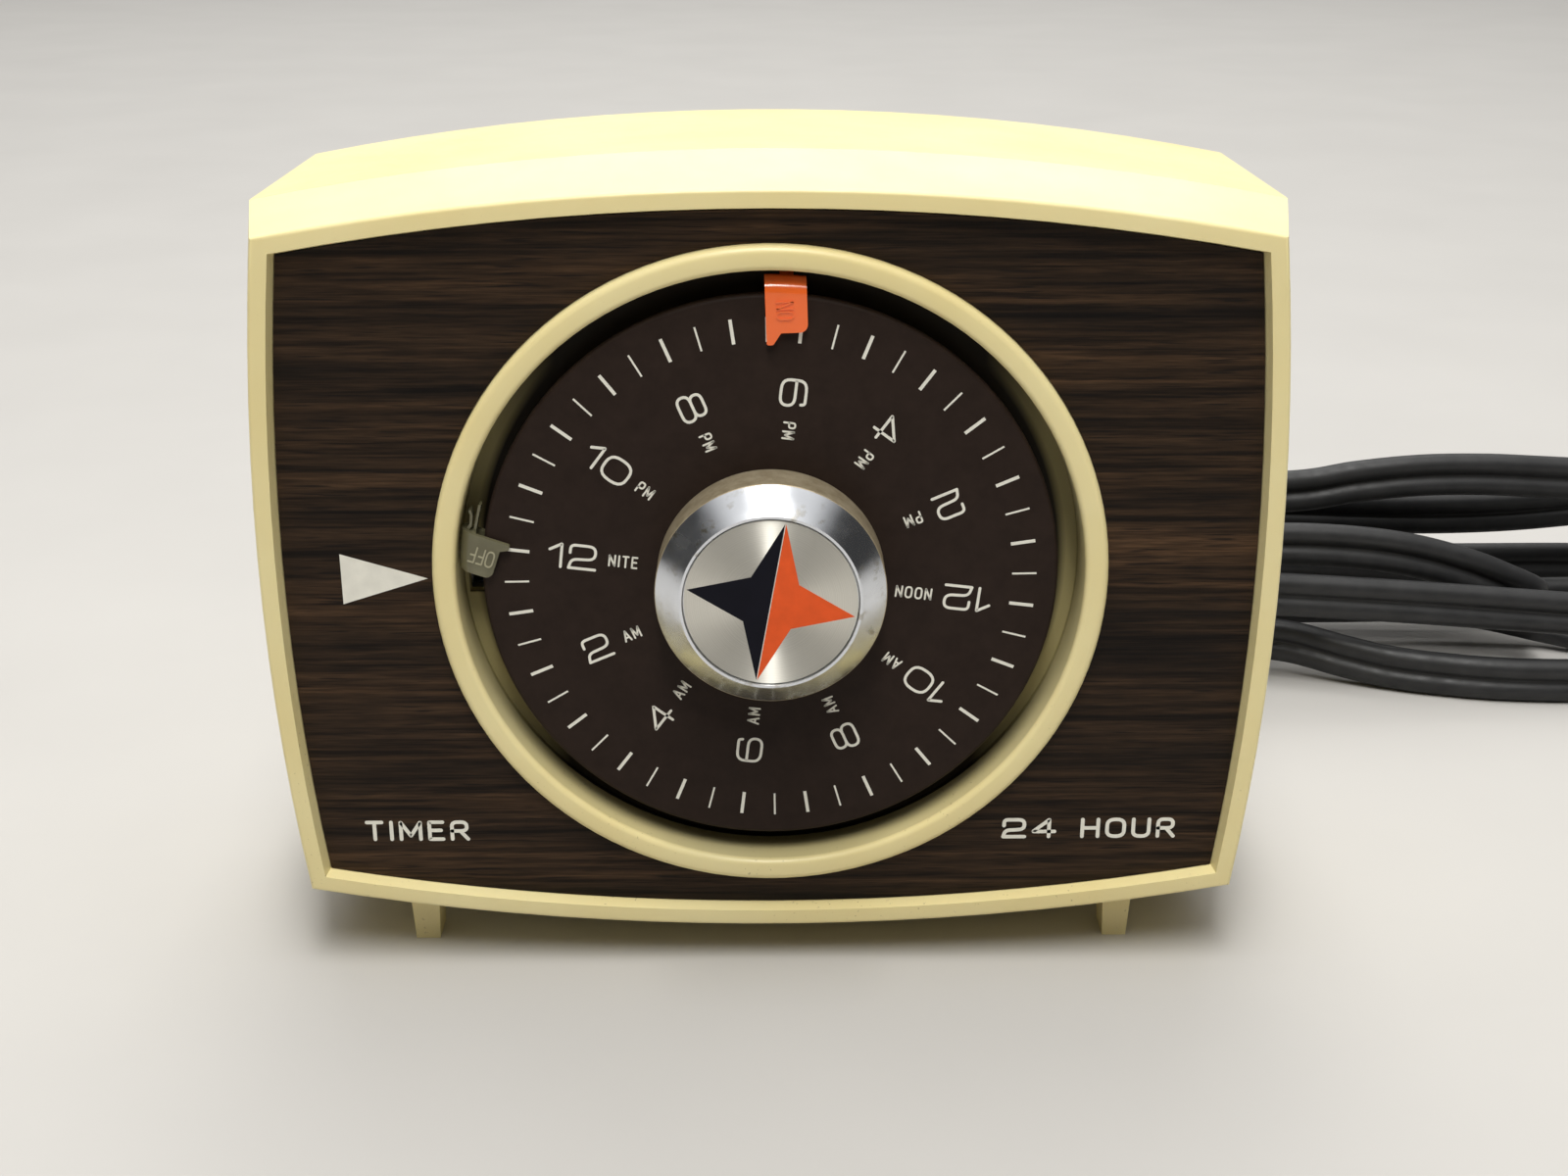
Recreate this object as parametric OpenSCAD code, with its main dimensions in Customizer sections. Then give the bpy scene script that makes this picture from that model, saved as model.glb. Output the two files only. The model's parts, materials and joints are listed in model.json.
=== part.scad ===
// Plug-in 24-hour timer: a dial with an ON and an OFF tripper, driven by a small synchronous motor.
// Millimetres, +Z up, +Y towards the back. The origin lies on the table, under the dial's axis,
// midway between the face and the back of the case.

/* [Case] */
// Width of the face across its middle
face_w = 158; // [150:1:170]
// Height of the face at its middle
face_h = 121.5; // [118:0.5:130]
// Rise of the top and bottom edges of the face between their corners
bow_top = 7; // [5:0.5:9]
// Bulge of the left and right edges of the face between their corners
bow_side = 3.5; // [2.5:0.5:5]
// Depth of the case from face to back
case_d = 68; // [66:1:74]
// Depth of the front housing, from the face back to the seam
seam_d = 15; // [14.5:0.5:16]
// How far the front housing spreads on each side between the face and the seam
flare = 3.35; // [2.8:0.05:4]
// Wall thickness of both mouldings
wall = 2.4; // [2:0.1:2.6]
// Radius of the back edges of the rear cover
back_r = 8; // [6:0.5:10]
// Width of the flat rim round the panel
rim_w = 2.8; // [2:0.1:4]
// Height of the dial's axis above the table
axis_z = 68; // [67:0.5:72]

/* [Dial] */
// Outer radius of the ring round the dial well
ring_r = 52.4; // [51.5:0.1:53]
// Radius of the dial well
well_r = 48.7; // [48.5:0.1:49]
// Depth of the floor of the dial well
well_d = 9.5; // [9.3:0.1:9.6]
// Radius of the dial
dial_r = 44.8; // [44.6:0.1:45]
// Depth of the dial's front surface
dial_d = 2.4; // [2.2:0.1:2.5]
// Radius of the knob
knob_r = 17.75; // [15:0.25:19]
// Radius of the flat front of the knob
knob_front_r = 13.9; // [12:0.1:14.5]
// How far the knob stands in front of the face
knob_out = 8.7; // [7:0.1:11]

/* [Trippers] */
// Width of a tripper
tripper_w = 6.2; // [5:0.1:7]
// Angle of the ON tripper, anticlockwise from the right
on_angle = 87; // [80:1:95]
// Angle of the OFF tripper, anticlockwise from the right
off_angle = 175; // [165:1:185]
// Lean of the ON tripper away from the radius
on_lean = 5; // [0:1:8]
// Lean of the OFF tripper away from the radius
off_lean = 14; // [0:1:16]

/* [Cord and plug] */
// Height of the flat cord's section
cord_h = 9.6; // [8:0.1:10]
// Thickness of the flat cord
cord_t = 4.8; // [4:0.1:5]

/* [Hidden] */

$fn = 96;
big_fn = 256;    // facets of the large bowed walls
gap = 0.1;       // slack between parts that are only laid together
slip = 0.04;     // radial clearance of a running bearing
fixed = 0.02;    // radial clearance of a fastened fit
over = 1;        // overshoot of a cut beyond the surface it opens

cream = "#e9dfae";
walnut = "#3a261a";
dial_brown = "#2c211d";
steel = "#b9bcc0";
brass = "#c8a652";
black = "#1c1c1e";
phenolic = "#4a3226";

// Bowed outline of the face
corner_w = face_w / 2 - bow_side;
corner_h = face_h / 2 - bow_top;
r_top = bow_radius(corner_w, bow_top);
r_side = bow_radius(corner_h, bow_side);
edge_r = 0.7;
edge_break = 0.3;
panel_d = 2.2;
panel_t = 0.6;
recess_d = panel_d + panel_t;
recess_draft = 0.6;
panel_back = recess_d + 2;
back_draft = 0.5;

// Spigot of the rear cover, which enters the front housing
lip_d = seam_d - 2;
lip_grow = 0.3;
lip_root_grow = 0.75;
lip_wall = 1.2;

// Dial well and its ring
well_t = 2.2;
well_back = well_d + well_t;
ring_edge_in = 0.9;
ring_edge_out = 1.2;
hub_hole_r = 9;

// Dial, hub and knob
disc_t = 1.8;
disc_bore_r = 5;
disc_edge_r = 0.7;
hub_flange_r = 12;
hub_flange_t = 1.2;
hub_r = 6;
hub_back = 12.6;
knob_bore_d = -4.1;
knob_lip = 0.4;
inlay_pocket = 0.65;

// Clip of a tripper
clip_t = 1;
clip_slack = 0.12;
clip_depth = 4;
clip_roll_r = 2.2;
clip_back_r = 0.8;
clip_jaw = 3.8;
clip_rim_in = 0.15;
clip_rim_out = 2.5;
tooth_w = 2;
tooth_h = 1.8;
tooth_end = 5.6;
tail_t = 2;

// Movement
plate_t = 1.2;
plate_w = 103;
plate_h = 68;
plate_shift = [-3.5, -1];
front_plate_d = 13.5;
rear_plate_d = 24;
plate_back = rear_plate_d + plate_t;
pillar_spots = [[-34, 26], [34, 26], [-33, -29], [41, -14]];
pillar_r = 3.2;
stud_r = 4;
stud_floor = 0.8;
m3_r = 1.45;
m3_hole_r = 1.5;
m3_head_r = 2.8;
m3_head_t = 1.8;
m3_slot_w = 0.7;
arbor_r = 2.5;
arbor_front = -4;
arbor_back = 26.2;
bush_r = 4;
bush_flange_r = 5;
bush_flange_t = 0.6;

// Gear train: motor pinion to idler gear, idler pinion to dial gear, 24 to 1 in all
pressure_angle = 25;
backlash = 0.12;
flank_steps = 4;
fine_module = 0.5;
coarse_module = 0.8;
motor_teeth = 15;
idler_teeth = 72;
pinion_teeth = 12;
dial_teeth = 60;
idler_angle = -60;
motor_angle = 180;
idler_spot = along(idler_angle, coarse_module * (pinion_teeth + dial_teeth) / 2);
motor_spot = idler_spot + along(motor_angle, fine_module * (motor_teeth + idler_teeth) / 2);
idler_arbor_r = 1.2;
motor_shaft_r = 1.5;
dial_gear_d = 15.7;
dial_gear_t = 2.2;
dial_gear_boss_r = 6;
dial_gear_boss_t = 0.7;
dial_gear_hole_r = 4.6;
dial_gear_hole_at = 14.5;
idler_gear_d = 19;
idler_gear_t = 1.6;
idler_gear_hole_r = 4;
idler_gear_hole_at = 10.5;
idler_hub_r = 3.4;
idler_boss_r = 2.6;
idler_boss_t = 3;
pinion_lead = 0.2;
idler_pinion_w = 2.7;
motor_pinion_w = 2.6;

// Slip clutch: spring washer and collar
spring_seat = 0.75;
spring_rim_r = 6.5;
spring_rise = 0.65;
spring_t = 0.25;
collar_seat = 1.3;
collar_w = 3.4;
collar_neck = [3, 0.9];
collar_r = 4.5;

// Synchronous motor
can_r = 22;
can_d = 14;
can_t = 1;
can_edge = 1.5;
motor_face_d = plate_back + gap;
ear_angle = -15;
ear_out = 25.5;
ear_r = 3.5;
ear_hole_r = 1.25;
ear_screw_r = 1.2;

// Trip lever and switch, drawn half way through the stroke and then turned to OFF
lever_spot = [-44.3, 0];
lever_swing = 16;
lever_reach = 12;
lever_hub = [15.2, 18.6];
lever_blade = [15.4, 17];
pivot_front = 15.4;
prong_offset = 2;
prong_r = 0.8;
prong_front = 8.4;
window = [7.4, 10];
arm_spot = [-44.3, -32];
arm_reach = arm_spot[1] * -1 - lever_reach;
arm_swing = lever_swing * lever_reach / arm_reach;
arm_pivot_r = 1;
arm_t = 0.8;
pin_r = 0.9;
contact_height = 15;
contact_r = 1.6;
switch_d = 20;
base_x = -55.4;
terminal_heights = [-16, -27];
terminal_r = 1.22;

// Case screws
case_screw_x = 62;
case_screw_y = 42;
boss_r = 4.2;
boss_bore_d = 9;
boss_top_d = 21.9;
screw_seat_d = 24;
screw_head_r = 3;
screw_head_t = 2.2;
tube_r = 5;
tube_bore_r = 3.6;
tube_hole_r = 1.8;

// Feet
foot_x = 58.7;
foot_top_w = 5.4;
foot_low_w = 4;
foot_lean = 1;
front_foot_d = 8.5;
front_foot_len = 6.2;
rear_foot_d = 50;
rear_foot_len = 7;

// Receptacle, rating plate and cord entry in the back
socket_x = 32;
socket_y = 12;
socket_w = 26;
socket_h = 36;
socket_front_d = 46;
socket_flange = 5;
blade_pitch = 12.7;
blade_slot = [2.4, 7.6];
slot_taller = 0.8;
slot_depth = 16;
rating_spot = [-34, -16];
rating_size = [44, 22];
relief_x = 48;
relief_y = -34;
relief_r = 7;
relief_hole = 0.3;

// Plug on the table, blades to the right
plug_x = 262;
plug_y = 66;
plug_z = 7.5;
plug_len = 26;
blade_size = [16.2, 1.52, 6.35];
blade_root = 5.9;
blade_hole_r = 1.6;

// Wires
wire_r = 1.1;
wire_elbow = 0.06;

function bow_radius(half_chord, bow) = (half_chord * half_chord + bow * bow) / (2 * bow);
function along(angle, distance) = distance * [cos(angle), sin(angle)];

// Points of an arc about [cx, cy], from angle a0 to angle a1
function arc(cx, cy, r, a0, a1, steps = 6) = [
    for (i = [0:steps])
        let (a = a0 + (a1 - a0) * i / steps)
        [cx + r * cos(a), cy + r * sin(a)]
];

// ---------------------------------------------------------------- frames and basic shapes

// Face frame: x to the right, y up, z towards the viewer, origin where the dial's axis meets the face
module on_face() {
    translate([0, -case_d / 2, axis_z]) rotate([90, 0, 0]) children();
}

// Flat shape extruded from one depth behind the face to another
module layer(from, to) {
    translate([0, 0, -to]) linear_extrude(to - from) children();
}

// Cylinder along the dial's direction between two depths
module shaft(r, from, to) {
    layer(from, to) circle(r);
}

// Body of revolution about the dial's axis, from points [radius, depth]
module turned(points) {
    mirror([0, 0, 1]) rotate_extrude() polygon(points);
}

// Flat ring with a bore, between two depths
module sleeve(r_out, r_in, from, to) {
    layer(from, to) difference() {
        circle(r_out);
        circle(r_in);
    }
}

module rounded_rect(w, h, r) {
    square([w - 2 * r, h], center = true);
    square([w, h - 2 * r], center = true);
    for (sx = [-1, 1], sy = [-1, 1])
        translate([sx * (w / 2 - r), sy * (h / 2 - r)]) circle(r);
}

// Outline of the face, with all four bowed sides moved outwards by grow
module bowed_outline(grow) {
    intersection() {
        translate([0, face_h / 2 - r_top]) circle(r_top + grow, $fn = big_fn);
        translate([0, r_top - face_h / 2]) circle(r_top + grow, $fn = big_fn);
        translate([face_w / 2 - r_side, 0]) circle(r_side + grow, $fn = big_fn);
        translate([r_side - face_w / 2, 0]) circle(r_side + grow, $fn = big_fn);
    }
}

// One bowed wall: a large disc whose edge follows points [growth, depth]
module bowed_disc(r, points) {
    first = points[0][1];
    last = points[len(points) - 1][1];
    rim = [for (p = points) [r + p[0], p[1]]];
    mirror([0, 0, 1])
        rotate_extrude($fn = big_fn) polygon(concat([[0, first]], rim, [[0, last]]));
}

// Solid with four bowed walls that share one wall profile
module bowed_solid(points) {
    intersection() {
        translate([0, face_h / 2 - r_top, 0]) bowed_disc(r_top, points);
        translate([0, r_top - face_h / 2, 0]) bowed_disc(r_top, points);
        translate([face_w / 2 - r_side, 0, 0]) bowed_disc(r_side, points);
        translate([r_side - face_w / 2, 0, 0]) bowed_disc(r_side, points);
    }
}

module at_case_screws() {
    for (sx = [-1, 1], sy = [-1, 1])
        translate([sx * case_screw_x, sy * case_screw_y, 0]) children();
}

module at_pillars() {
    for (spot = pillar_spots) translate([spot[0], spot[1], 0]) children();
}

module at_spot(spot) {
    translate([spot[0], spot[1], 0]) children();
}

// Pair of tapering feet whose soles lie on the table
module feet(from, to) {
    for (side = [-1, 1])
        layer(from, to) polygon([
            [side * (foot_x - foot_top_w / 2), -corner_h],
            [side * (foot_x + foot_top_w / 2), -corner_h],
            [side * (foot_x - foot_top_w / 2 + foot_low_w + foot_lean / 2), -axis_z],
            [side * (foot_x - foot_top_w / 2 + foot_lean / 2), -axis_z]
        ]);
}

// Straight rod between two points
module rod(a, b, r) {
    d = b - a;
    length = norm(d);
    translate(a)
        rotate([0, acos(d[2] / length), atan2(d[1], d[0])])
            cylinder(h = length, r = r, $fn = 24);
}

// Bent wire through a list of points
module wire(points, r) {
    for (i = [0:len(points) - 2]) rod(points[i], points[i + 1], r);
    for (i = [1:len(points) - 2]) translate(points[i]) sphere(r + wire_elbow, $fn = 24);
}

// ---------------------------------------------------------------- case

module front_housing() {
    outer = concat(
        arc(-edge_r, edge_r, edge_r, -90, 0),
        [[flare, seam_d - edge_break], [flare - edge_break, seam_d]]
    );
    recess = [[-rim_w, -over], [-rim_w, 0], [-rim_w - recess_draft, recess_d]];
    cavity = [
        [flare * panel_back / seam_d - wall, panel_back],
        [flare * (seam_d + over) / seam_d - wall, seam_d + over]
    ];
    cup = concat(
        arc(well_r + ring_edge_in, ring_edge_in, ring_edge_in, 180, 270),
        arc(ring_r - ring_edge_out, ring_edge_out, ring_edge_out, 270, 360),
        [[ring_r, well_back], [hub_hole_r, well_back], [hub_hole_r, well_d], [well_r, well_d]]
    );
    color(cream) on_face() difference() {
        union() {
            difference() {
                bowed_solid(outer);
                bowed_solid(recess);
                bowed_solid(cavity);
                shaft(ring_r - 1, -over, case_d);
            }
            turned(cup);
            at_case_screws() shaft(boss_r, panel_back - over, boss_top_d);
            at_pillars() shaft(stud_r, well_back - over, front_plate_d);
        }
        at_case_screws() shaft(m3_hole_r, boss_bore_d, boss_top_d + over);
        at_pillars() shaft(m3_hole_r, well_d + stud_floor, front_plate_d + over);
        trip_window(well_d - over, well_back + over);
    }
}

// Opening for the two prongs of the trip lever
module trip_window(from, to) {
    layer(from, to) at_spot(lever_spot) square(window, center = true);
}

module rear_cover() {
    back_d = case_d - back_r;
    inner_r = back_r - wall;
    start_d = seam_d + gap;
    lip_end = seam_d + wall;
    outer = concat(
        [[flare - edge_break, start_d], [flare, start_d + edge_break]],
        arc(flare - back_draft - back_r, back_d, back_r, 0, 90, 10)
    );
    lip = [[lip_grow, lip_d], [lip_root_grow, start_d + gap], [flare - wall + lip_grow, lip_end]];
    cavity = concat(
        [
            [lip_grow - lip_wall, lip_d - over],
            [lip_root_grow - lip_wall, start_d + gap],
            [flare - wall, lip_end + edge_break]
        ],
        arc(flare - back_draft - back_r, back_d, inner_r, 0, 90, 8)
    );
    color(cream) on_face() difference() {
        union() {
            difference() {
                union() {
                    bowed_solid(outer);
                    bowed_solid(lip);
                }
                bowed_solid(cavity);
            }
            at_case_screws() shaft(tube_r, boss_top_d + gap, case_d - over);
        }
        at_case_screws() shaft(tube_hole_r, boss_top_d - over, case_d + over);
        at_case_screws() shaft(tube_bore_r, screw_seat_d, case_d + over);
        translate([socket_x, socket_y, 0])
            layer(case_d - wall - over, case_d + over)
                rounded_rect(socket_w + 2 * gap, socket_h + 2 * gap, 2 + gap);
        translate([relief_x, relief_y, 0])
            shaft(relief_r + fixed, case_d - wall - over, case_d + over);
    }
}

module front_feet() {
    color(cream) on_face() difference() {
        feet(front_foot_d, front_foot_d + front_foot_len);
        bowed_solid([
            [fixed, 0], [fixed, edge_r], [flare + fixed, seam_d - edge_break], [flare + fixed, seam_d]
        ]);
    }
}

module rear_feet() {
    color(cream) on_face() difference() {
        feet(rear_foot_d, rear_foot_d + rear_foot_len);
        bowed_solid([[flare + fixed, seam_d], [flare - back_draft + fixed, case_d - back_r]]);
    }
}

module wood_panel() {
    color(walnut) on_face() layer(panel_d, recess_d) difference() {
        bowed_outline(-rim_w - recess_draft - gap / 2);
        circle(ring_r + gap);
    }
}

module case_screws() {
    head_end = screw_seat_d + screw_head_t;
    color(steel) on_face() at_case_screws() difference() {
        union() {
            shaft(screw_head_r, screw_seat_d, head_end);
            shaft(m3_r, boss_bore_d + over, screw_seat_d + over);
        }
        layer(head_end - over, head_end + over) square([2 * screw_head_r + over, m3_slot_w], center = true);
    }
}

module rating_plate() {
    color(steel) on_face() at_spot(rating_spot)
        layer(case_d + fixed, case_d + 0.4) rounded_rect(rating_size[0], rating_size[1], 2);
}

// ---------------------------------------------------------------- dial and knob

module dial_disc() {
    bore = disc_bore_r + fixed;
    back = dial_d + disc_t;
    color(dial_brown) on_face() turned(concat(
        [[bore, dial_d]],
        arc(dial_r - disc_edge_r, dial_d + disc_edge_r, disc_edge_r, 270, 360),
        [[dial_r, back], [bore, back]]
    ));
}

module dial_hub() {
    seat = dial_d + disc_t;
    bore = arbor_r + fixed;
    color(phenolic) on_face() turned([
        [bore, dial_d], [disc_bore_r, dial_d], [disc_bore_r, seat], [hub_flange_r, seat],
        [hub_flange_r, seat + hub_flange_t], [hub_r, seat + 2 * hub_flange_t],
        [hub_r, hub_back], [bore, hub_back]
    ]);
}

module dial_arbor() {
    color(steel) on_face() shaft(arbor_r, arbor_front, arbor_back);
}

module knob_body() {
    front = -knob_out;
    bevel = front + knob_r - knob_front_r;
    base = dial_d - fixed;
    pocket_r = knob_front_r - knob_lip - 0.2;
    color(steel) on_face() turned([
        [arbor_r + fixed, base], [knob_r - 0.2, base], [knob_r, base - 0.2], [knob_r, bevel - 0.1],
        [knob_r - 0.1, bevel - 0.2], [knob_front_r, front], [knob_front_r - knob_lip, front],
        [pocket_r, front + knob_lip], [pocket_r, front + inlay_pocket], [0, front + inlay_pocket],
        [0, knob_bore_d], [arbor_r + fixed, knob_bore_d]
    ]);
}

module knob_inlay() {
    pocket_r = knob_front_r - knob_lip - 0.2;
    color("#d8d4c4") on_face()
        shaft(pocket_r - gap, -knob_out + knob_lip - 0.15, -knob_out + inlay_pocket - fixed / 2);
}

// ---------------------------------------------------------------- trippers

// Plan of a tripper: x along the rim with the pointer edge to the left, y outwards along the radius.
// The pointer is beak[0] long, beak[1] wide at its tip and beak[2] wide at its root.
module tripper_plan(inner, beak) {
    half = tripper_w / 2;
    corner = 1.2;
    tip = inner - beak[0];
    polygon(concat(
        [[-half, well_r + 2], [-half, tip + 0.2], [-half + 0.2, tip]],
        [[-half + beak[1], tip], [-half + beak[1] + 0.2, tip + 0.2], [-half + beak[2], inner]],
        arc(half - corner, inner + corner, corner, -90, 0),
        [[half, well_r + 2]]
    ));
}

// C-shaped clip round the rim of the dial, leaning a little about the rim
module tripper(inner, beak, lean, out, tooth_r) {
    front = dial_d - clip_t;
    back = front + clip_depth;
    jaw_front = dial_d - clip_slack;
    jaw_back = dial_d + disc_t + clip_slack;
    bend_in = dial_r + clip_rim_in + out;
    bend_out = dial_r + clip_rim_out + out;
    open_r = inner - beak[0] - over;
    intersection() {
        turned(concat(
            [[open_r, front]],
            arc(bend_out - clip_roll_r, front + clip_roll_r, clip_roll_r, 270, 360, 10),
            arc(bend_out - clip_back_r, back - clip_back_r, clip_back_r, 0, 90),
            [[dial_r - clip_jaw, back], [dial_r - clip_jaw, jaw_back], [bend_in, jaw_back]],
            [[bend_in, jaw_front], [open_r, jaw_front]]
        ));
        layer(front - over, back + over)
            translate([0, dial_r]) rotate(lean) translate([0, -dial_r]) tripper_plan(inner, beak);
    }
    // Striking tooth
    translate([0, tooth_r, 0])
        layer(back - 0.2, dial_d + tooth_end) square([tooth_w, tooth_h], center = true);
}

module tripper_on() {
    color("#e8622c") on_face() rotate(on_angle - 90)
        tripper(39.2, [1.75, 0.9, 2.2], on_lean, 0, 46.3);
}

// The OFF tripper also has a springy tail of two fingers, which steady it along the rim
module tripper_off() {
    out = 1.1;
    rim = dial_r + clip_rim_in + out;
    color("#8f8d78") on_face() rotate(off_angle - 90) mirror([1, 0, 0]) {
        tripper(42.4, [1.25, 0.7, 1.4], off_lean, out, 42.3);
        layer(dial_d + 0.4, dial_d + 0.4 + tail_t) {
            polygon([
                [-3, rim], [-5.3, rim - 0.3], [-7.9, rim - 0.7],
                [-7.9, rim - 0.3], [-5.3, rim + 0.1], [-3, rim + 0.4]
            ]);
            polygon([
                [-3, rim + 1.3], [-4.5, rim + 0.6], [-6, rim + 0.5], [-7, rim + 0.8], [-7, rim + 1.2],
                [-6, rim + 0.9], [-4.7, rim + 1], [-3.8, rim + 1.6], [-3, rim + 1.9]
            ]);
        }
    }
}

// ---------------------------------------------------------------- movement frame

module plate_outline() {
    translate(plate_shift) rounded_rect(plate_w, plate_h, 6);
}

module front_plate() {
    color(steel) on_face() difference() {
        layer(front_plate_d, front_plate_d + plate_t) plate_outline();
        at_pillars() shaft(m3_hole_r, front_plate_d - over, rear_plate_d);
        shaft(bush_r, front_plate_d - over, rear_plate_d);
        at_spot(idler_spot) shaft(idler_arbor_r + slip, front_plate_d - over, rear_plate_d);
        at_spot(arm_spot) shaft(arm_pivot_r + fixed, front_plate_d - over, rear_plate_d);
        trip_window(front_plate_d - over, rear_plate_d);
    }
}

module rear_plate() {
    color(steel) on_face() difference() {
        layer(rear_plate_d, plate_back) plate_outline();
        at_pillars() shaft(m3_hole_r, front_plate_d, plate_back + over);
        shaft(bush_r, front_plate_d, plate_back + over);
        at_spot(idler_spot) shaft(idler_arbor_r + slip, front_plate_d, plate_back + over);
        at_spot(motor_spot) shaft(5, front_plate_d, plate_back + over);
        at_spot(arm_spot) shaft(arm_pivot_r + fixed, front_plate_d, plate_back + over);
        at_spot(lever_spot) shaft(m3_r + fixed, front_plate_d, plate_back + over);
        at_ears() shaft(ear_hole_r, front_plate_d, plate_back + over);
    }
}

module plate_pillars() {
    color(steel) on_face() at_pillars()
        sleeve(pillar_r, m3_hole_r, front_plate_d + plate_t, rear_plate_d);
}

module plate_screws() {
    head_end = plate_back + m3_head_t;
    color(steel) on_face() at_pillars() difference() {
        union() {
            shaft(m3_head_r, plate_back, head_end);
            shaft(m3_r, well_d + over, plate_back + over / 2);
        }
        layer(head_end - 0.8, head_end + over) square([2 * m3_head_r + over, m3_slot_w], center = true);
    }
}

module bush(from, flange_end, body_end) {
    sleeve(bush_flange_r, arbor_r + slip, from, flange_end);
    sleeve(bush_r - fixed, arbor_r + slip, flange_end - gap, body_end);
}

module front_bush() {
    color(brass) on_face()
        bush(front_plate_d - bush_flange_t, front_plate_d, front_plate_d + plate_t + 0.5);
}

module rear_bush() {
    color(brass) on_face()
        bush(rear_plate_d - bush_flange_t, rear_plate_d, plate_back + 0.4);
}

// ---------------------------------------------------------------- gears and clutch

// Angle between an involute's start and the point where its pressure angle is a
function involute(a) = tan(a) * 180 / PI - a;

// Half the angle that a tooth takes up at radius r
function half_tooth(r, teeth, pitch_r) =
    let (base_r = pitch_r * cos(pressure_angle))
    90 / teeth - backlash / 4 / pitch_r * 180 / PI
        + involute(pressure_angle) - involute(acos(min(1, base_r / r)));

// Spur gear outline with a tooth centred on the x axis
module gear_outline(teeth, mod) {
    pitch_r = teeth * mod / 2;
    tip_r = pitch_r + mod;
    root_r = pitch_r - 1.25 * mod;
    start_r = max(root_r, pitch_r * cos(pressure_angle));
    flank = [for (i = [0:flank_steps]) start_r + (tip_r - start_r) * i / flank_steps];
    polygon([
        for (t = [0:teeth - 1])
            let (centre = 360 * t / teeth)
            each concat(
                [along(centre - half_tooth(start_r, teeth, pitch_r), root_r)],
                [for (i = [0:flank_steps]) along(centre - half_tooth(flank[i], teeth, pitch_r), flank[i])],
                [for (i = [flank_steps:-1:0]) along(centre + half_tooth(flank[i], teeth, pitch_r), flank[i])],
                [along(centre + half_tooth(start_r, teeth, pitch_r), root_r)]
            )
    ]);
}

// The dial gear turns freely on the arbor; the spring presses it against the collar side
module dial_gear() {
    back = dial_gear_d + dial_gear_t;
    color(brass) on_face() {
        layer(dial_gear_d, back) difference() {
            rotate(idler_angle) gear_outline(dial_teeth, coarse_module);
            circle(arbor_r + slip);
            for (i = [0:4]) rotate(72 * i) translate([dial_gear_hole_at, 0]) circle(dial_gear_hole_r);
        }
        sleeve(dial_gear_boss_r, arbor_r + slip, back - gap, back + dial_gear_boss_t);
    }
}

module clutch_spring() {
    seat = dial_gear_d + dial_gear_t + spring_seat;
    rim = seat + spring_rise;
    inner = arbor_r + 0.2;
    color(steel) on_face() turned([
        [inner, seat], [inner + 0.5, seat], [spring_rim_r, rim], [spring_rim_r, rim + spring_t + gap],
        [inner, seat + spring_t]
    ]);
}

module clutch_collar() {
    bore = arbor_r + fixed;
    from = dial_gear_d + dial_gear_t + collar_seat;
    step = from + collar_neck[1];
    to = from + collar_w;
    color(brass) on_face() turned([
        [bore, from], [collar_neck[0], from], [collar_neck[0], step],
        [collar_r, step], [collar_r, to], [bore, to]
    ]);
}

module idler_arbor() {
    color(steel) on_face() at_spot(idler_spot)
        shaft(idler_arbor_r, front_plate_d + 0.2, plate_back - gap);
}

module idler_pinion() {
    bore = idler_arbor_r + fixed;
    from = dial_gear_d - pinion_lead;
    to = from + idler_pinion_w;
    color(brass) on_face() at_spot(idler_spot) {
        layer(from, to) difference() {
            rotate(idler_angle + 180 + 180 / pinion_teeth) gear_outline(pinion_teeth, coarse_module);
            circle(bore);
        }
        sleeve(idler_hub_r, bore, to - gap, idler_gear_d - fixed);
    }
}

module idler_gear() {
    bore = idler_arbor_r + fixed;
    back = idler_gear_d + idler_gear_t;
    color(brass) on_face() at_spot(idler_spot) {
        layer(idler_gear_d, back) difference() {
            rotate(motor_angle) gear_outline(idler_teeth, fine_module);
            circle(bore);
            for (i = [0:3]) rotate(90 * i + 45) translate([idler_gear_hole_at, 0]) circle(idler_gear_hole_r);
        }
        sleeve(idler_boss_r, bore, back - gap, back + idler_boss_t);
    }
}

module motor_pinion() {
    from = idler_gear_d - pinion_lead;
    color(brass) on_face() at_spot(motor_spot) layer(from, from + motor_pinion_w) difference() {
        rotate(motor_angle + 180 + 180 / motor_teeth) gear_outline(motor_teeth, fine_module);
        circle(motor_shaft_r + fixed);
    }
}

// ---------------------------------------------------------------- motor

module at_ears() {
    for (turn = [0, 180])
        at_spot(motor_spot + along(ear_angle + turn, ear_out)) children();
}

module motor_shaft() {
    color(steel) on_face() at_spot(motor_spot)
        shaft(motor_shaft_r, idler_gear_d - 0.4, motor_face_d + can_d + 1.2);
}

module motor_end_plate() {
    back = motor_face_d + can_t;
    color(steel) on_face() difference() {
        layer(motor_face_d, back) {
            at_spot(motor_spot) circle(can_r);
            at_spot(motor_spot) rotate(ear_angle) square([2 * ear_out, 2 * ear_r], center = true);
            at_ears() circle(ear_r);
        }
        at_spot(motor_spot) shaft(motor_shaft_r + slip, motor_face_d - over, back + over);
        at_ears() shaft(ear_hole_r, motor_face_d - over, back + over);
    }
}

module motor_can() {
    from = motor_face_d + can_t + fixed;
    to = from + can_d;
    bearing = [motor_shaft_r + slip, 5, 2.5];
    color("#9aa0a6") on_face() at_spot(motor_spot) turned([
        [can_r - can_t, from], [can_r, from], [can_r, to - can_edge], [can_r - can_edge, to],
        [bearing[0], to], [bearing[0], to - bearing[2]], [bearing[1], to - bearing[2]],
        [bearing[1], to - can_t], [can_r - can_t, to - can_t]
    ]);
}

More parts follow.
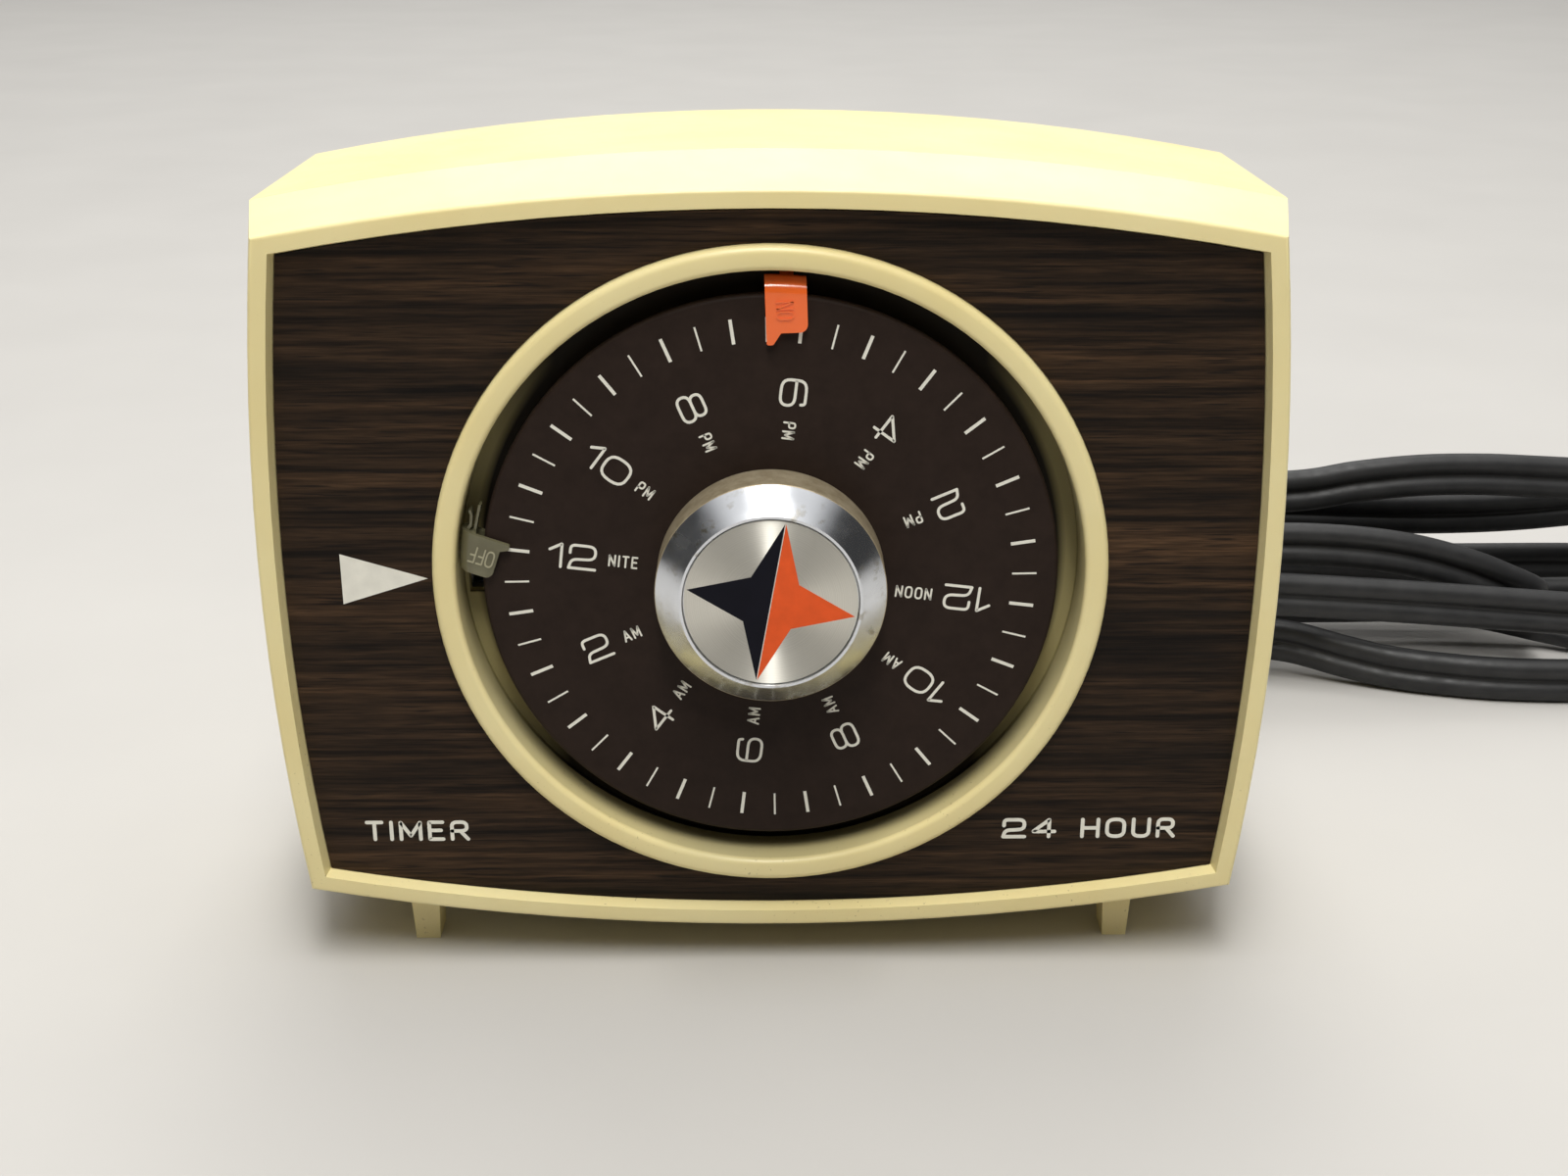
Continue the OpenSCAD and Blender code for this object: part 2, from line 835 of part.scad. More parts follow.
// Winding on a flanged bobbin
module motor_coil() {
    from = motor_face_d + 2 * can_t;
    to = from + 10;
    bobbin = [8, 20];
    winding_r = 18.5;
    color("#a5502a") on_face() at_spot(motor_spot) turned([
        [bobbin[0], from], [bobbin[1], from], [bobbin[1], from + 1], [winding_r, from + 1],
        [winding_r, to - 1], [bobbin[1], to - 1], [bobbin[1], to], [bobbin[0], to]
    ]);
}

module motor_screws() {
    seat = motor_face_d + can_t;
    color(steel) on_face() at_ears() {
        shaft(2.2, seat, seat + 1.5);
        shaft(ear_screw_r, rear_plate_d + 0.2, seat + 0.2);
    }
}

// ---------------------------------------------------------------- trip lever and switch

module trip_lever() {
    tail = lever_reach + 2.5;
    bore = m3_r + slip;
    fork_w = 2.3;
    color("#d9d4c2") on_face() at_spot(lever_spot) rotate(lever_swing / 2) {
        sleeve(3.4, bore, lever_hub[0], lever_hub[1]);
        for (side = [-1, 1])
            translate([side * prong_offset, 0, 0]) shaft(prong_r, prong_front, lever_hub[0] + gap);
        layer(lever_blade[0], lever_blade[1]) difference() {
            union() {
                translate([-1.8, -tail]) square([3.6, tail]);
                translate([-3.2, -tail]) square([6.4, 5]);
            }
            circle(bore + over / 2);
            translate([-fork_w / 2, -tail - over]) square([fork_w, 5]);
        }
    }
}

module lever_pivot() {
    collar_d = lever_hub[1] + 0.2;
    color(steel) on_face() at_spot(lever_spot) {
        shaft(m3_r, pivot_front, plate_back);
        sleeve(3, m3_r - over / 2, collar_d, rear_plate_d);
    }
}

module contact_arm() {
    color(brass) on_face() at_spot(arm_spot) rotate(-arm_swing / 2) {
        layer(switch_d - 2, switch_d + 2) difference() {
            union() {
                circle(2.6);
                translate([-arm_t / 2, 1]) square([arm_t, arm_reach + 1]);
            }
            circle(arm_pivot_r + slip);
        }
        translate([0, arm_reach, 0]) shaft(pin_r, lever_blade[0] - 0.4, switch_d + 2);
    }
}

module moving_contact() {
    color("silver") on_face() at_spot(arm_spot) rotate(-arm_swing / 2)
        translate([-arm_t / 2 - fixed, contact_height, -switch_d])
            rotate([0, -90, 0]) cylinder(h = 1.38, r = contact_r);
}

module arm_pivot() {
    color(steel) on_face() at_spot(arm_spot) shaft(arm_pivot_r, front_plate_d, plate_back);
}

module switch_base() {
    color(phenolic) on_face() difference() {
        translate([base_x, -33, gap - rear_plate_d]) cube([5.5, 22, 9.1]);
        for (y = terminal_heights)
            translate([base_x - over / 2, y, -switch_d])
                rotate([0, 90, 0]) cylinder(h = 4, r = terminal_r + fixed);
    }
}

module fixed_contact() {
    strip_x = base_x + 5.5 + fixed;
    color("silver") on_face() {
        translate([strip_x, -31, -switch_d - 2]) cube([arm_t, 18, 4]);
        translate([strip_x + arm_t - gap, arm_spot[1] + contact_height, -switch_d])
            rotate([0, 90, 0]) cylinder(h = 1.55, r = contact_r);
    }
}

module terminal_screws() {
    color(steel) on_face() for (y = terminal_heights) translate([base_x - fixed, y, -switch_d]) {
        rotate([0, -90, 0]) cylinder(h = 1.8, r = 2.6);
        rotate([0, 90, 0]) cylinder(h = 3, r = terminal_r);
    }
}

// Switch to receptacle, switch to cord, and receptacle to cord
module inner_leads() {
    color(black) on_face() {
        wire([[-59, -16, -20], [-60, -10, -34], [-20, 26, -42], [12, 22, -43], [24, 14, -44.8]], wire_r);
        wire([[-59, -27, -20], [-54, -40, -34], [-40, -52, -40], [40, -52, -46], [48, -38, -57]], wire_r);
        wire([[38, 2, -44.8], [48, -14, -44], [48, -30, -57]], wire_r);
    }
}

// ---------------------------------------------------------------- receptacle and cord entry

module socket_slots(extra) {
    for (side = [-1, 1])
        translate([side * blade_pitch / 2, 0])
            square([blade_slot[0] + extra, blade_slot[1] + side * slot_taller + extra], center = true);
}

module receptacle_body() {
    color(phenolic) on_face() translate([socket_x, socket_y, 0]) difference() {
        union() {
            layer(socket_front_d, case_d + 0.5) rounded_rect(socket_w, socket_h, 2);
            layer(case_d + fixed, case_d + 1.2)
                rounded_rect(socket_w + socket_flange, socket_h + socket_flange, 3);
        }
        layer(case_d - slot_depth, case_d + 3) socket_slots(0);
        layer(socket_front_d + 2, case_d - 2) socket_slots(blade_slot[0]);
    }
}

module receptacle_contacts() {
    color(brass) on_face() translate([socket_x, socket_y, 0])
        layer(socket_front_d + 2 + gap, case_d - 2 - gap) difference() {
            socket_slots(blade_slot[0] - 2 * gap);
            socket_slots(2 * gap);
        }
}

module strain_relief() {
    lip = [9, 1.2, 2.4];
    color(black) on_face() translate([relief_x, relief_y, 0]) difference() {
        union() {
            shaft(relief_r, case_d - 6, case_d + 1);
            turned([
                [0, case_d + fixed], [lip[0], case_d + fixed], [lip[0], case_d + lip[1]],
                [lip[0] - 1, case_d + lip[2]], [0, case_d + lip[2]]
            ]);
        }
        layer(case_d - 8, case_d + 4) square([cord_t + relief_hole, cord_h + relief_hole], center = true);
    }
}

// ---------------------------------------------------------------- cord and plug

// Knots of the cord's centre line on its way from the case to the plug
cord_exit_y = case_d / 2;
cord_exit_z = axis_z + relief_y;
table_z = cord_h / 2;
cord_exit = [
    [relief_x, cord_exit_y - 20, cord_exit_z], [relief_x, cord_exit_y - 8, cord_exit_z],
    [relief_x, cord_exit_y + 3, cord_exit_z], [relief_x, cord_exit_y + 7, cord_exit_z],
    [relief_x + 2, cord_exit_y + 17, cord_exit_z - 7], [57, 64, 15], [69, 75, 8], [84, 83, 6.2]
];
// Lowest loop, on the table: out along the front and back again behind
low_loop = [
    [99, 87, 7.5], [113, 85, 8], [126, 80, 6.2], [134, 77, 5.2], [143, 74, table_z + 0.1],
    [157, 70.8, table_z], [174, 69.7, table_z], [190, 70.5, table_z], [202, 74.5, table_z],
    [208, 82, table_z], [203, 89.5, table_z + 0.1], [190, 94, table_z + 0.3], [177, 98.6, 6.4],
    [163, 101.2, 8.8], [150, 102, 10.2], [130, 101.8, 10.3], [104, 101.6, 10.2], [75, 101.2, 9.6],
    [45, 99.8, 8.4]
];
// Middle loop, short, which dips behind the last strand at its right-hand end
middle_loop = [
    [26, 98, 8.7], [16.5, 95.8, 11], [13, 91, 14.3], [16, 86.4, 18], [25, 84.6, 22], [45, 83.5, 27],
    [75, 84, 30], [104, 84, 31], [122, 84, 30.6], [138, 84, 28.6], [152, 84, 24.8], [162, 84.6, 20.6],
    [168, 86.4, 17.4], [170, 90, 15.4], [168, 93.6, 14.6], [161, 95.2, 15], [150, 95.5, 16.2],
    [130, 95.5, 18.6], [104, 95.2, 20], [75, 95, 20.4], [54, 95, 21.8]
];
// Top loop, the highest
top_loop = [
    [42, 95.4, 24], [34.5, 96.6, 26.8], [32.3, 100.2, 29.8], [34.5, 103.6, 32.4], [44, 104.6, 34.4],
    [62, 104.6, 35.3], [90, 104, 35.6], [118, 104, 36.4], [132, 104, 38.6], [146, 104, 40],
    [160, 104, 40.2], [173, 104, 39.6], [190, 104, 38.6], [206, 104.6, 37.2], [216, 106.6, 35.8],
    [219, 110.6, 34.2], [216, 114.6, 32.6], [204, 116, 30.8], [188, 115.6, 29], [172, 114.6, 27.9],
    [156, 114, 27.5], [140, 114, 27.6], [120, 114, 28.2], [90, 114, 28.6], [60, 114, 28.4]
];
// Rear loop, behind the others
rear_loop = [
    [42, 114.6, 27], [33.5, 117.6, 24.6], [32.8, 121, 21.6], [38, 124, 18], [52, 123.6, 15.4],
    [80, 122, 13.6], [120, 121.6, 12.6], [160, 121.6, 12.4], [190, 121.6, 12.4], [206, 120.6, 12],
    [214.5, 117.6, 11.3], [215, 113, 10.5], [208, 109.6, 9.6], [190, 109, 8.7], [160, 109.4, 8.2],
    [120, 110, 8], [80, 110, 8], [45, 109.8, 9]
];
// Last strand, in front of the loops, down to the plug
cord_end = [
    [20, 109, 12.5], [2, 105, 19], [-5, 94.5, 25], [5, 81.5, 27.6], [28, 75, 26.8], [58, 74, 25.2],
    [86, 75.2, 23.8], [112, 76, 22.3], [140, 76, 20.4], [172, 76, 17.8], [198, 74.5, 16.6],
    [222, 70.8, 13.6], [plug_x - 18, plug_y + 0.6, plug_z + 1.2], [plug_x - 10, plug_y, plug_z],
    [plug_x + 8, plug_y, plug_z], [plug_x + 20, plug_y, plug_z]
];
cord_knots = concat(cord_exit, low_loop, middle_loop, top_loop, rear_loop, cord_end);

// Catmull-Rom curve through p1 and p2, at u between 0 and 1
function spline(p0, p1, p2, p3, u) =
    0.5 * (2 * p1 + u * (p2 - p0) + u * u * (2 * p0 - 5 * p1 + 4 * p2 - p3)
        + u * u * u * (3 * p1 - p0 - 3 * p2 + p3));

// Flat cord standing on edge: rings of eight points, with the waist between its two wires
module power_cord() {
    steps = 2;
    knots = len(cord_knots);
    path = concat(
        [
            for (k = [1:knots - 3], s = [0:steps - 1])
                spline(cord_knots[k - 1], cord_knots[k], cord_knots[k + 1], cord_knots[k + 2], s / steps)
        ],
        [cord_knots[knots - 2]]
    );
    count = len(path);
    section = [
        for (half = [1, -1], a = [-60, 0, 60, 120])
            [cord_t / 2 * sin(a + 30) * half, half * (cord_h / 4 + cord_h / 4 * cos(a + 30))]
    ];
    points = [
        for (i = [0:count - 1])
            let (
                ahead = path[min(i + 1, count - 1)] - path[max(i - 1, 0)],
                t = ahead / norm(ahead),
                side = cross(t, [0, 0, 1]) / norm(cross(t, [0, 0, 1])),
                up = cross(side, t)
            )
            for (q = section) path[i] + q[0] * side + q[1] * up
    ];
    ring = len(section);
    faces = concat(
        [[for (j = [0:ring - 1]) j]],
        [
            for (i = [0:count - 2], j = [0:ring - 1])
                let (a = i * ring + j, b = i * ring + (j + 1) % ring)
                each [[a, a + ring, b], [b, a + ring, b + ring]]
        ],
        [[for (j = [ring - 1:-1:0]) (count - 1) * ring + j]]
    );
    color(black) polyhedron(points, faces, convexity = 10);
}

module plug_body() {
    color(black) translate([plug_x, plug_y, plug_z]) rotate([0, 90, 0]) difference() {
        union() {
            translate([0, 0, 10]) linear_extrude(plug_len - 10) rounded_rect(13, 24, 4);
            translate([0, 0, 2]) linear_extrude(9) rounded_rect(11, 17, 4);
            linear_extrude(3) rounded_rect(13, 20, 4);
        }
        translate([0, 0, -over])
            linear_extrude(10) square([cord_h + relief_hole, cord_t + relief_hole], center = true);
        for (side = [-1, 1])
            translate([0, side * blade_pitch / 2, plug_len - blade_root - gap])
                linear_extrude(blade_root + over)
                    square([blade_size[2] + gap / 2, blade_size[1] + gap], center = true);
    }
}

module plug_blades() {
    length = blade_size[0] + blade_root;
    color(brass) translate([plug_x + plug_len - blade_root, plug_y, plug_z]) for (side = [-1, 1])
        translate([0, side * blade_pitch / 2 - blade_size[1] / 2, -blade_size[2] / 2]) difference() {
            cube([length, blade_size[1], blade_size[2]]);
            translate([length - 3.5, blade_size[1] + over, blade_size[2] / 2])
                rotate([90, 0, 0]) cylinder(h = blade_size[1] + 2 * over, r = blade_hole_r);
        }
}

front_housing();
rear_cover();
front_feet();
rear_feet();
wood_panel();
case_screws();
rating_plate();
dial_disc();
dial_hub();
dial_arbor();
knob_body();
knob_inlay();
tripper_on();
tripper_off();
front_plate();
rear_plate();
plate_pillars();
plate_screws();
front_bush();
rear_bush();
dial_gear();
clutch_spring();
clutch_collar();
idler_arbor();
idler_pinion();
idler_gear();
motor_pinion();
motor_shaft();
motor_can();
motor_end_plate();
motor_coil();
motor_screws();
trip_lever();
lever_pivot();
contact_arm();
moving_contact();
arm_pivot();
switch_base();
fixed_contact();
terminal_screws();
inner_leads();
receptacle_body();
receptacle_contacts();
strain_relief();
power_cord();
plug_body();
plug_blades();
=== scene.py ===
import json
import math

import bpy
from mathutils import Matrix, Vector


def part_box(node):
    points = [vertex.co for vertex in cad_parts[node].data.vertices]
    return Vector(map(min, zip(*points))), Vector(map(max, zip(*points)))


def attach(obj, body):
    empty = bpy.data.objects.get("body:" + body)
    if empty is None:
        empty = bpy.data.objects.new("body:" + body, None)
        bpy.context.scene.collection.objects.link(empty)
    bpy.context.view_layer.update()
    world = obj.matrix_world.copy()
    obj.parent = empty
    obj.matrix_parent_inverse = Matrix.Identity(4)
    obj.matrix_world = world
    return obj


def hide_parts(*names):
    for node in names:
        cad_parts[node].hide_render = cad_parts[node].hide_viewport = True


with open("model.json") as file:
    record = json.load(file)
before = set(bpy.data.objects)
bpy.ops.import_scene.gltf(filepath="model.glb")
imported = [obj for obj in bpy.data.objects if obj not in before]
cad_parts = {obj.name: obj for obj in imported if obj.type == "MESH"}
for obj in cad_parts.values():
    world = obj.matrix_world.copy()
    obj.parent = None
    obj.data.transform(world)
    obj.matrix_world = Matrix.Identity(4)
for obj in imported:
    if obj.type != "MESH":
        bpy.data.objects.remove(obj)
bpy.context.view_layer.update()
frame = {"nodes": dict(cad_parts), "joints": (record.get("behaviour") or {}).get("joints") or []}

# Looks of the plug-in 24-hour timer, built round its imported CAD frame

MM = 0.001

# ---------------------------------------------------------------- places taken from the frame


def joint(name):
    return next(j for j in frame["joints"] if j["name"] == name)


FACE_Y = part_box("front_housing")[0].y
BACK_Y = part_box("rear_cover")[1].y
AXIS_Z = joint("dial_set")["pos_m"][2]
DIAL_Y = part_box("dial_disc")[0].y
DIAL_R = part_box("dial_disc")[1].x
KNOB_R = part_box("knob_body")[1].x
INLAY_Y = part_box("knob_inlay")[0].y
PANEL_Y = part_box("wood_panel")[0].y


def on_circle(radius, angle):
    """Point (x, z) about the dial's axis; the angle is in degrees, anticlockwise from the right."""
    a = math.radians(angle)
    return Vector((radius * math.cos(a), AXIS_Z + radius * math.sin(a)))


# ---------------------------------------------------------------- mesh helpers


def new_object(name, vertices, faces, smooth=True):
    mesh = bpy.data.meshes.new(name)
    mesh.from_pydata([tuple(v) for v in vertices], [], faces)
    mesh.polygons.foreach_set("use_smooth", [smooth] * len(mesh.polygons))
    mesh.update()
    obj = bpy.data.objects.new(name, mesh)
    bpy.context.scene.collection.objects.link(obj)
    return obj


PRINT_LIFT = 0.035 * MM
PRINT_SINK = 0.03 * MM
STROKE_STEP = 0.0004 * MM
END_ANGLES = (25, 50, 75)


class Print:
    """Flat marks that lie on a surface facing the viewer, gathered into one mesh."""

    def __init__(self, surface_y, lift=PRINT_LIFT):
        self.front = surface_y - lift
        self.back = surface_y + PRINT_SINK
        self.vertices = []
        self.faces = []

    def prism(self, outline):
        """Closed plate with a flat outline of (x, z) points, given anticlockwise as the viewer sees it."""
        n, start = len(outline), len(self.vertices)
        for y in (self.front, self.back):
            self.vertices += [(p[0], y, p[1]) for p in outline]
        self.faces.append([start + i for i in range(n)])
        self.faces.append([start + n + i for i in reversed(range(n))])
        for i in range(n):
            j = (i + 1) % n
            self.faces.append([start + j, start + i, start + n + i, start + n + j])

    def stroke(self, points, width, closed=False, square=False):
        """Pen stroke of even width along (x, z) points, with round or square ends."""
        half = width / 2
        self.front -= STROKE_STEP
        stations = []
        n = len(points)
        for i, p in enumerate(points):
            before = points[i - 1] if closed or i else p
            after = points[(i + 1) % n] if closed or i < n - 1 else p
            along = (after - before).normalized()
            stations.append((p, along, half))
        if not closed and not square:
            first, last = stations[0], stations[-1]
            cap = [math.radians(a) for a in END_ANGLES]
            head = [(first[0] - first[1] * half * math.sin(a), first[1], half * math.cos(a)) for a in cap]
            tail = [(last[0] + last[1] * half * math.sin(a), last[1], half * math.cos(a)) for a in cap]
            stations = head[::-1] + stations + tail
        start = len(self.vertices)
        for centre, along, reach in stations:
            side = Vector((-along.y, along.x)) * reach
            for p, y in ((centre + side, self.front), (centre - side, self.front),
                         (centre - side, self.back), (centre + side, self.back)):
                self.vertices.append((p.x, y, p.y))
        count = len(stations)
        for i in range(count if closed else count - 1):
            a = start + 4 * i
            b = start + 4 * ((i + 1) % count)
            for k in range(4):
                m = (k + 1) % 4
                self.faces.append([a + k, a + m, b + m, b + k])
        if not closed:
            self.faces.append([start + k for k in range(4)][::-1])
            self.faces.append([start + 4 * (count - 1) + k for k in range(4)])

    def build(self, name, body, material):
        obj = new_object(name, self.vertices, self.faces, smooth=False)
        obj.data.materials.append(material)
        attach(obj, body)


# ---------------------------------------------------------------- stroke lettering

CORNER_STEPS = 5


def rounded(points, radius, closed=False):
    """Polyline with its corners replaced by curves that start one radius before each corner."""
    pts = [Vector(p) for p in points]
    n = len(pts)
    out = []
    for i, p in enumerate(pts):
        if not closed and i in (0, n - 1):
            out.append(p)
            continue
        before, after = pts[i - 1], pts[(i + 1) % n]
        reach = min(radius, 0.5 * (p - before).length, 0.5 * (after - p).length)
        a = p + (before - p).normalized() * reach
        b = p + (after - p).normalized() * reach
        for k in range(CORNER_STEPS + 1):
            t = k / CORNER_STEPS
            out.append(a * (1 - t) ** 2 + p * 2 * t * (1 - t) + b * t * t)
    return out


# Each glyph: width, then strokes of (points, corner radius, closed), in units of the cap height
GLYPHS = {
    "0": (0.92, [([(0, 0), (0.92, 0), (0.92, 1), (0, 1)], 0.42, True)]),
    "1": (0.40, [([(0, 0.72), (0.40, 1), (0.40, 0)], 0.02, False)]),
    "2": (0.88, [([(0.02, 0.66), (0.03, 1), (0.88, 1), (0.88, 0.43), (0.08, 0.38), (0, 0)], 0.26, False),
                 ([(0, 0), (0.90, 0)], 0, False)]),
    "4": (0.90, [([(0.66, 0), (0.66, 1), (0, 0.30), (0.90, 0.30)], 0.02, False)]),
    "6": (0.88, [([(0.82, 0.84), (0.80, 1), (0, 1), (0, 0), (0.88, 0), (0.88, 0.58), (0.05, 0.58)],
                  0.34, False)]),
    "8": (0.88, [([(0, 0), (0.88, 0), (0.88, 0.53), (0, 0.53)], 0.28, True),
                 ([(0.07, 0.53), (0.81, 0.53), (0.81, 1), (0.07, 1)], 0.25, True)]),
    "A": (0.74, [([(0, 0), (0.37, 1), (0.74, 0)], 0.02, False),
                 ([(0.14, 0.32), (0.60, 0.32)], 0, False)]),
    "E": (0.56, [([(0.56, 1), (0, 1), (0, 0), (0.56, 0)], 0.02, False),
                 ([(0, 0.52), (0.48, 0.52)], 0, False)]),
    "F": (0.54, [([(0.54, 1), (0, 1), (0, 0)], 0.02, False),
                 ([(0, 0.52), (0.46, 0.52)], 0, False)]),
    "H": (0.66, [([(0, 0), (0, 1)], 0, False), ([(0.66, 0), (0.66, 1)], 0, False),
                 ([(0, 0.5), (0.66, 0.5)], 0, False)]),
    "I": (0.02, [([(0.01, 0), (0.01, 1)], 0, False)]),
    "M": (0.82, [([(0, 0), (0, 1), (0.41, 0.2), (0.82, 1), (0.82, 0)], 0.02, False)]),
    "N": (0.66, [([(0, 0), (0, 1), (0.66, 0), (0.66, 1)], 0.02, False)]),
    "O": (0.72, [([(0, 0), (0.72, 0), (0.72, 1), (0, 1)], 0.34, True)]),
    "P": (0.62, [([(0, 0), (0, 1), (0.62, 1), (0.62, 0.46), (0, 0.46)], 0.24, False)]),
    "R": (0.64, [([(0, 0), (0, 1), (0.62, 1), (0.62, 0.48), (0, 0.48)], 0.24, False),
                 ([(0.34, 0.48), (0.66, 0)], 0, False)]),
    "T": (0.62, [([(0, 1), (0.62, 1)], 0, False), ([(0.31, 1), (0.31, 0)], 0, False)]),
    "U": (0.66, [([(0, 1), (0, 0), (0.66, 0), (0.66, 1)], 0.30, False)]),
    " ": (0.40, []),
}


def text_width(text, cap, gap, stretch):
    return sum(GLYPHS[c][0] * cap * stretch for c in text) + gap * (len(text) - 1)


def write(sheet, text, origin, across, up, cap, gap, pen, stretch):
    """Draws text from origin along across; up points to the top of the letters, stretch widens them."""
    at = 0.0
    for c in text:
        width, strokes = GLYPHS[c]
        for points, radius, closed in strokes:
            path = [origin + across * (at + p.x * cap * stretch) + up * (p.y * cap)
                    for p in rounded(points, radius, closed)]
            sheet.stroke(path, pen, closed)
        at += width * cap * stretch + gap


# ---------------------------------------------------------------- materials


class Shader:
    """Small wrapper that makes node materials readable."""

    def __init__(self, name):
        self.material = bpy.data.materials.new(name)
        self.material.use_nodes = True
        self.nodes = self.material.node_tree.nodes
        self.links = self.material.node_tree.links
        self.bsdf = self.nodes["Principled BSDF"]
        self.coords = self.nodes.new("ShaderNodeTexCoord").outputs["Object"]

    def set(self, **values):
        for key, value in values.items():
            self.plug(self.bsdf.inputs[key.replace("_", " ")], value)

    def plug(self, socket, value):
        if isinstance(value, bpy.types.NodeSocket):
            self.links.new(value, socket)
        elif isinstance(value, (tuple, list)) and len(value) == 3 and socket.type == "RGBA":
            socket.default_value = (*value, 1)
        else:
            socket.default_value = value

    def scaled(self, scale, location):
        node = self.nodes.new("ShaderNodeMapping")
        self.links.new(self.coords, node.inputs["Vector"])
        node.inputs["Scale"].default_value = scale
        node.inputs["Location"].default_value = location
        return node.outputs["Vector"]

    def noise(self, scale, detail=3, rough=0.5, distortion=0.0, location=(0, 0, 0)):
        scale = scale if isinstance(scale, tuple) else (scale,) * 3
        node = self.nodes.new("ShaderNodeTexNoise")
        self.links.new(self.scaled(scale, location), node.inputs["Vector"])
        node.inputs["Scale"].default_value = 1
        node.inputs["Detail"].default_value = detail
        node.inputs["Roughness"].default_value = rough
        node.inputs["Distortion"].default_value = distortion
        return node.outputs["Fac"]

    def ramp(self, value, *stops):
        """Colour ramp with (position, colour) stops; a colour may be one number."""
        node = self.nodes.new("ShaderNodeValToRGB")
        self.links.new(value, node.inputs["Fac"])
        elements = node.color_ramp.elements
        while len(elements) < len(stops):
            elements.new(0.5)
        for element, (place, colour) in zip(elements, stops):
            element.position = place
            grey = not isinstance(colour, (tuple, list))
            element.color = (colour, colour, colour, 1) if grey else (*colour, 1)
        return node.outputs["Color"]

    def mix(self, factor, a, b, mode="MIX"):
        node = self.nodes.new("ShaderNodeMix")
        node.data_type = "RGBA"
        node.blend_type = mode
        self.plug(node.inputs["Factor"], factor)
        self.plug(node.inputs["A"], a)
        self.plug(node.inputs["B"], b)
        return node.outputs["Result"]

    def math(self, kind, a, b=0.0, clamp=False):
        node = self.nodes.new("ShaderNodeMath")
        node.operation = kind
        node.use_clamp = clamp
        self.plug(node.inputs[0], a)
        self.plug(node.inputs[1], b)
        return node.outputs[0]

    def part(self, axis):
        node = self.nodes.new("ShaderNodeSeparateXYZ")
        self.links.new(self.coords, node.inputs[0])
        return node.outputs[axis]

    def radius(self):
        """Distance from the dial's axis, in metres."""
        x = self.part("X")
        z = self.math("SUBTRACT", self.part("Z"), AXIS_Z)
        total = self.math("ADD", self.math("MULTIPLY", x, x), self.math("MULTIPLY", z, z))
        return self.math("SQRT", total)

    def bump(self, height, strength, distance=0.1 * MM):
        node = self.nodes.new("ShaderNodeBump")
        node.inputs["Strength"].default_value = strength
        node.inputs["Distance"].default_value = distance
        self.links.new(height, node.inputs["Height"])
        self.links.new(node.outputs["Normal"], self.bsdf.inputs["Normal"])
        return self


WELL_DEPTH = 9.4 * MM
WELL_REACH = 4.4 * MM
DECIMETRE = 0.1
CENTIMETRE = 0.01
GRIME = (0.16, 0.10, 0.045)
# Painted shade for the dial well: a dark colour for the walls, a near-black colour for the floor, and
# painted light for the floor's left and right edges
WALL_PAINTED_SHADE = (0.13, 0.11, 0.05)
FLOOR_PAINTED_SHADE = (0.020, 0.015, 0.009)
FLOOR_PAINTED_LIGHT = (0.42, 0.36, 0.17)


def paint_well_shade(s, colour):
    """Paints shade into the dial well: painted shade that darkens and dulls the walls with depth, and a
    near-black painted shade on the floor, with painted light at its left and right edges.
    """
    depth = s.math("MULTIPLY", s.math("SUBTRACT", s.part("Y"), FACE_Y), 1 / WELL_DEPTH)
    in_well = s.math("MULTIPLY", s.math("LESS_THAN", s.radius(), DIAL_R + WELL_REACH),
                     s.math("LESS_THAN", depth, 1.1))
    # Painted shade on the well walls, deeper with depth
    painted_shade_ramp = s.ramp(depth, (0.09, 0.0), (0.13, 0.25), (0.86, 0.35), (0.96, 1.0))
    wall = s.math("MULTIPLY", painted_shade_ramp, in_well)
    # Painted shade: the well floor is near black
    floor = s.math("MULTIPLY", s.math("GREATER_THAN", depth, 0.9), in_well)
    sideways = s.math("MULTIPLY", s.math("ABSOLUTE", s.part("X")), 1 / DECIMETRE)
    outwards = s.math("MULTIPLY", s.math("SUBTRACT", s.radius(), DIAL_R), 1 / CENTIMETRE)
    # Painted light on the floor's left and right edges
    edges = s.math("MULTIPLY", s.ramp(sideways, (0.33, 0.0), (0.43, 1.0)),
                   s.ramp(outwards, (0.08, 0.0), (0.22, 1.0)))
    painted_floor_colour = s.mix(edges, FLOOR_PAINTED_SHADE, FLOOR_PAINTED_LIGHT)
    return s.mix(floor, s.mix(wall, colour, WALL_PAINTED_SHADE), painted_floor_colour), wall


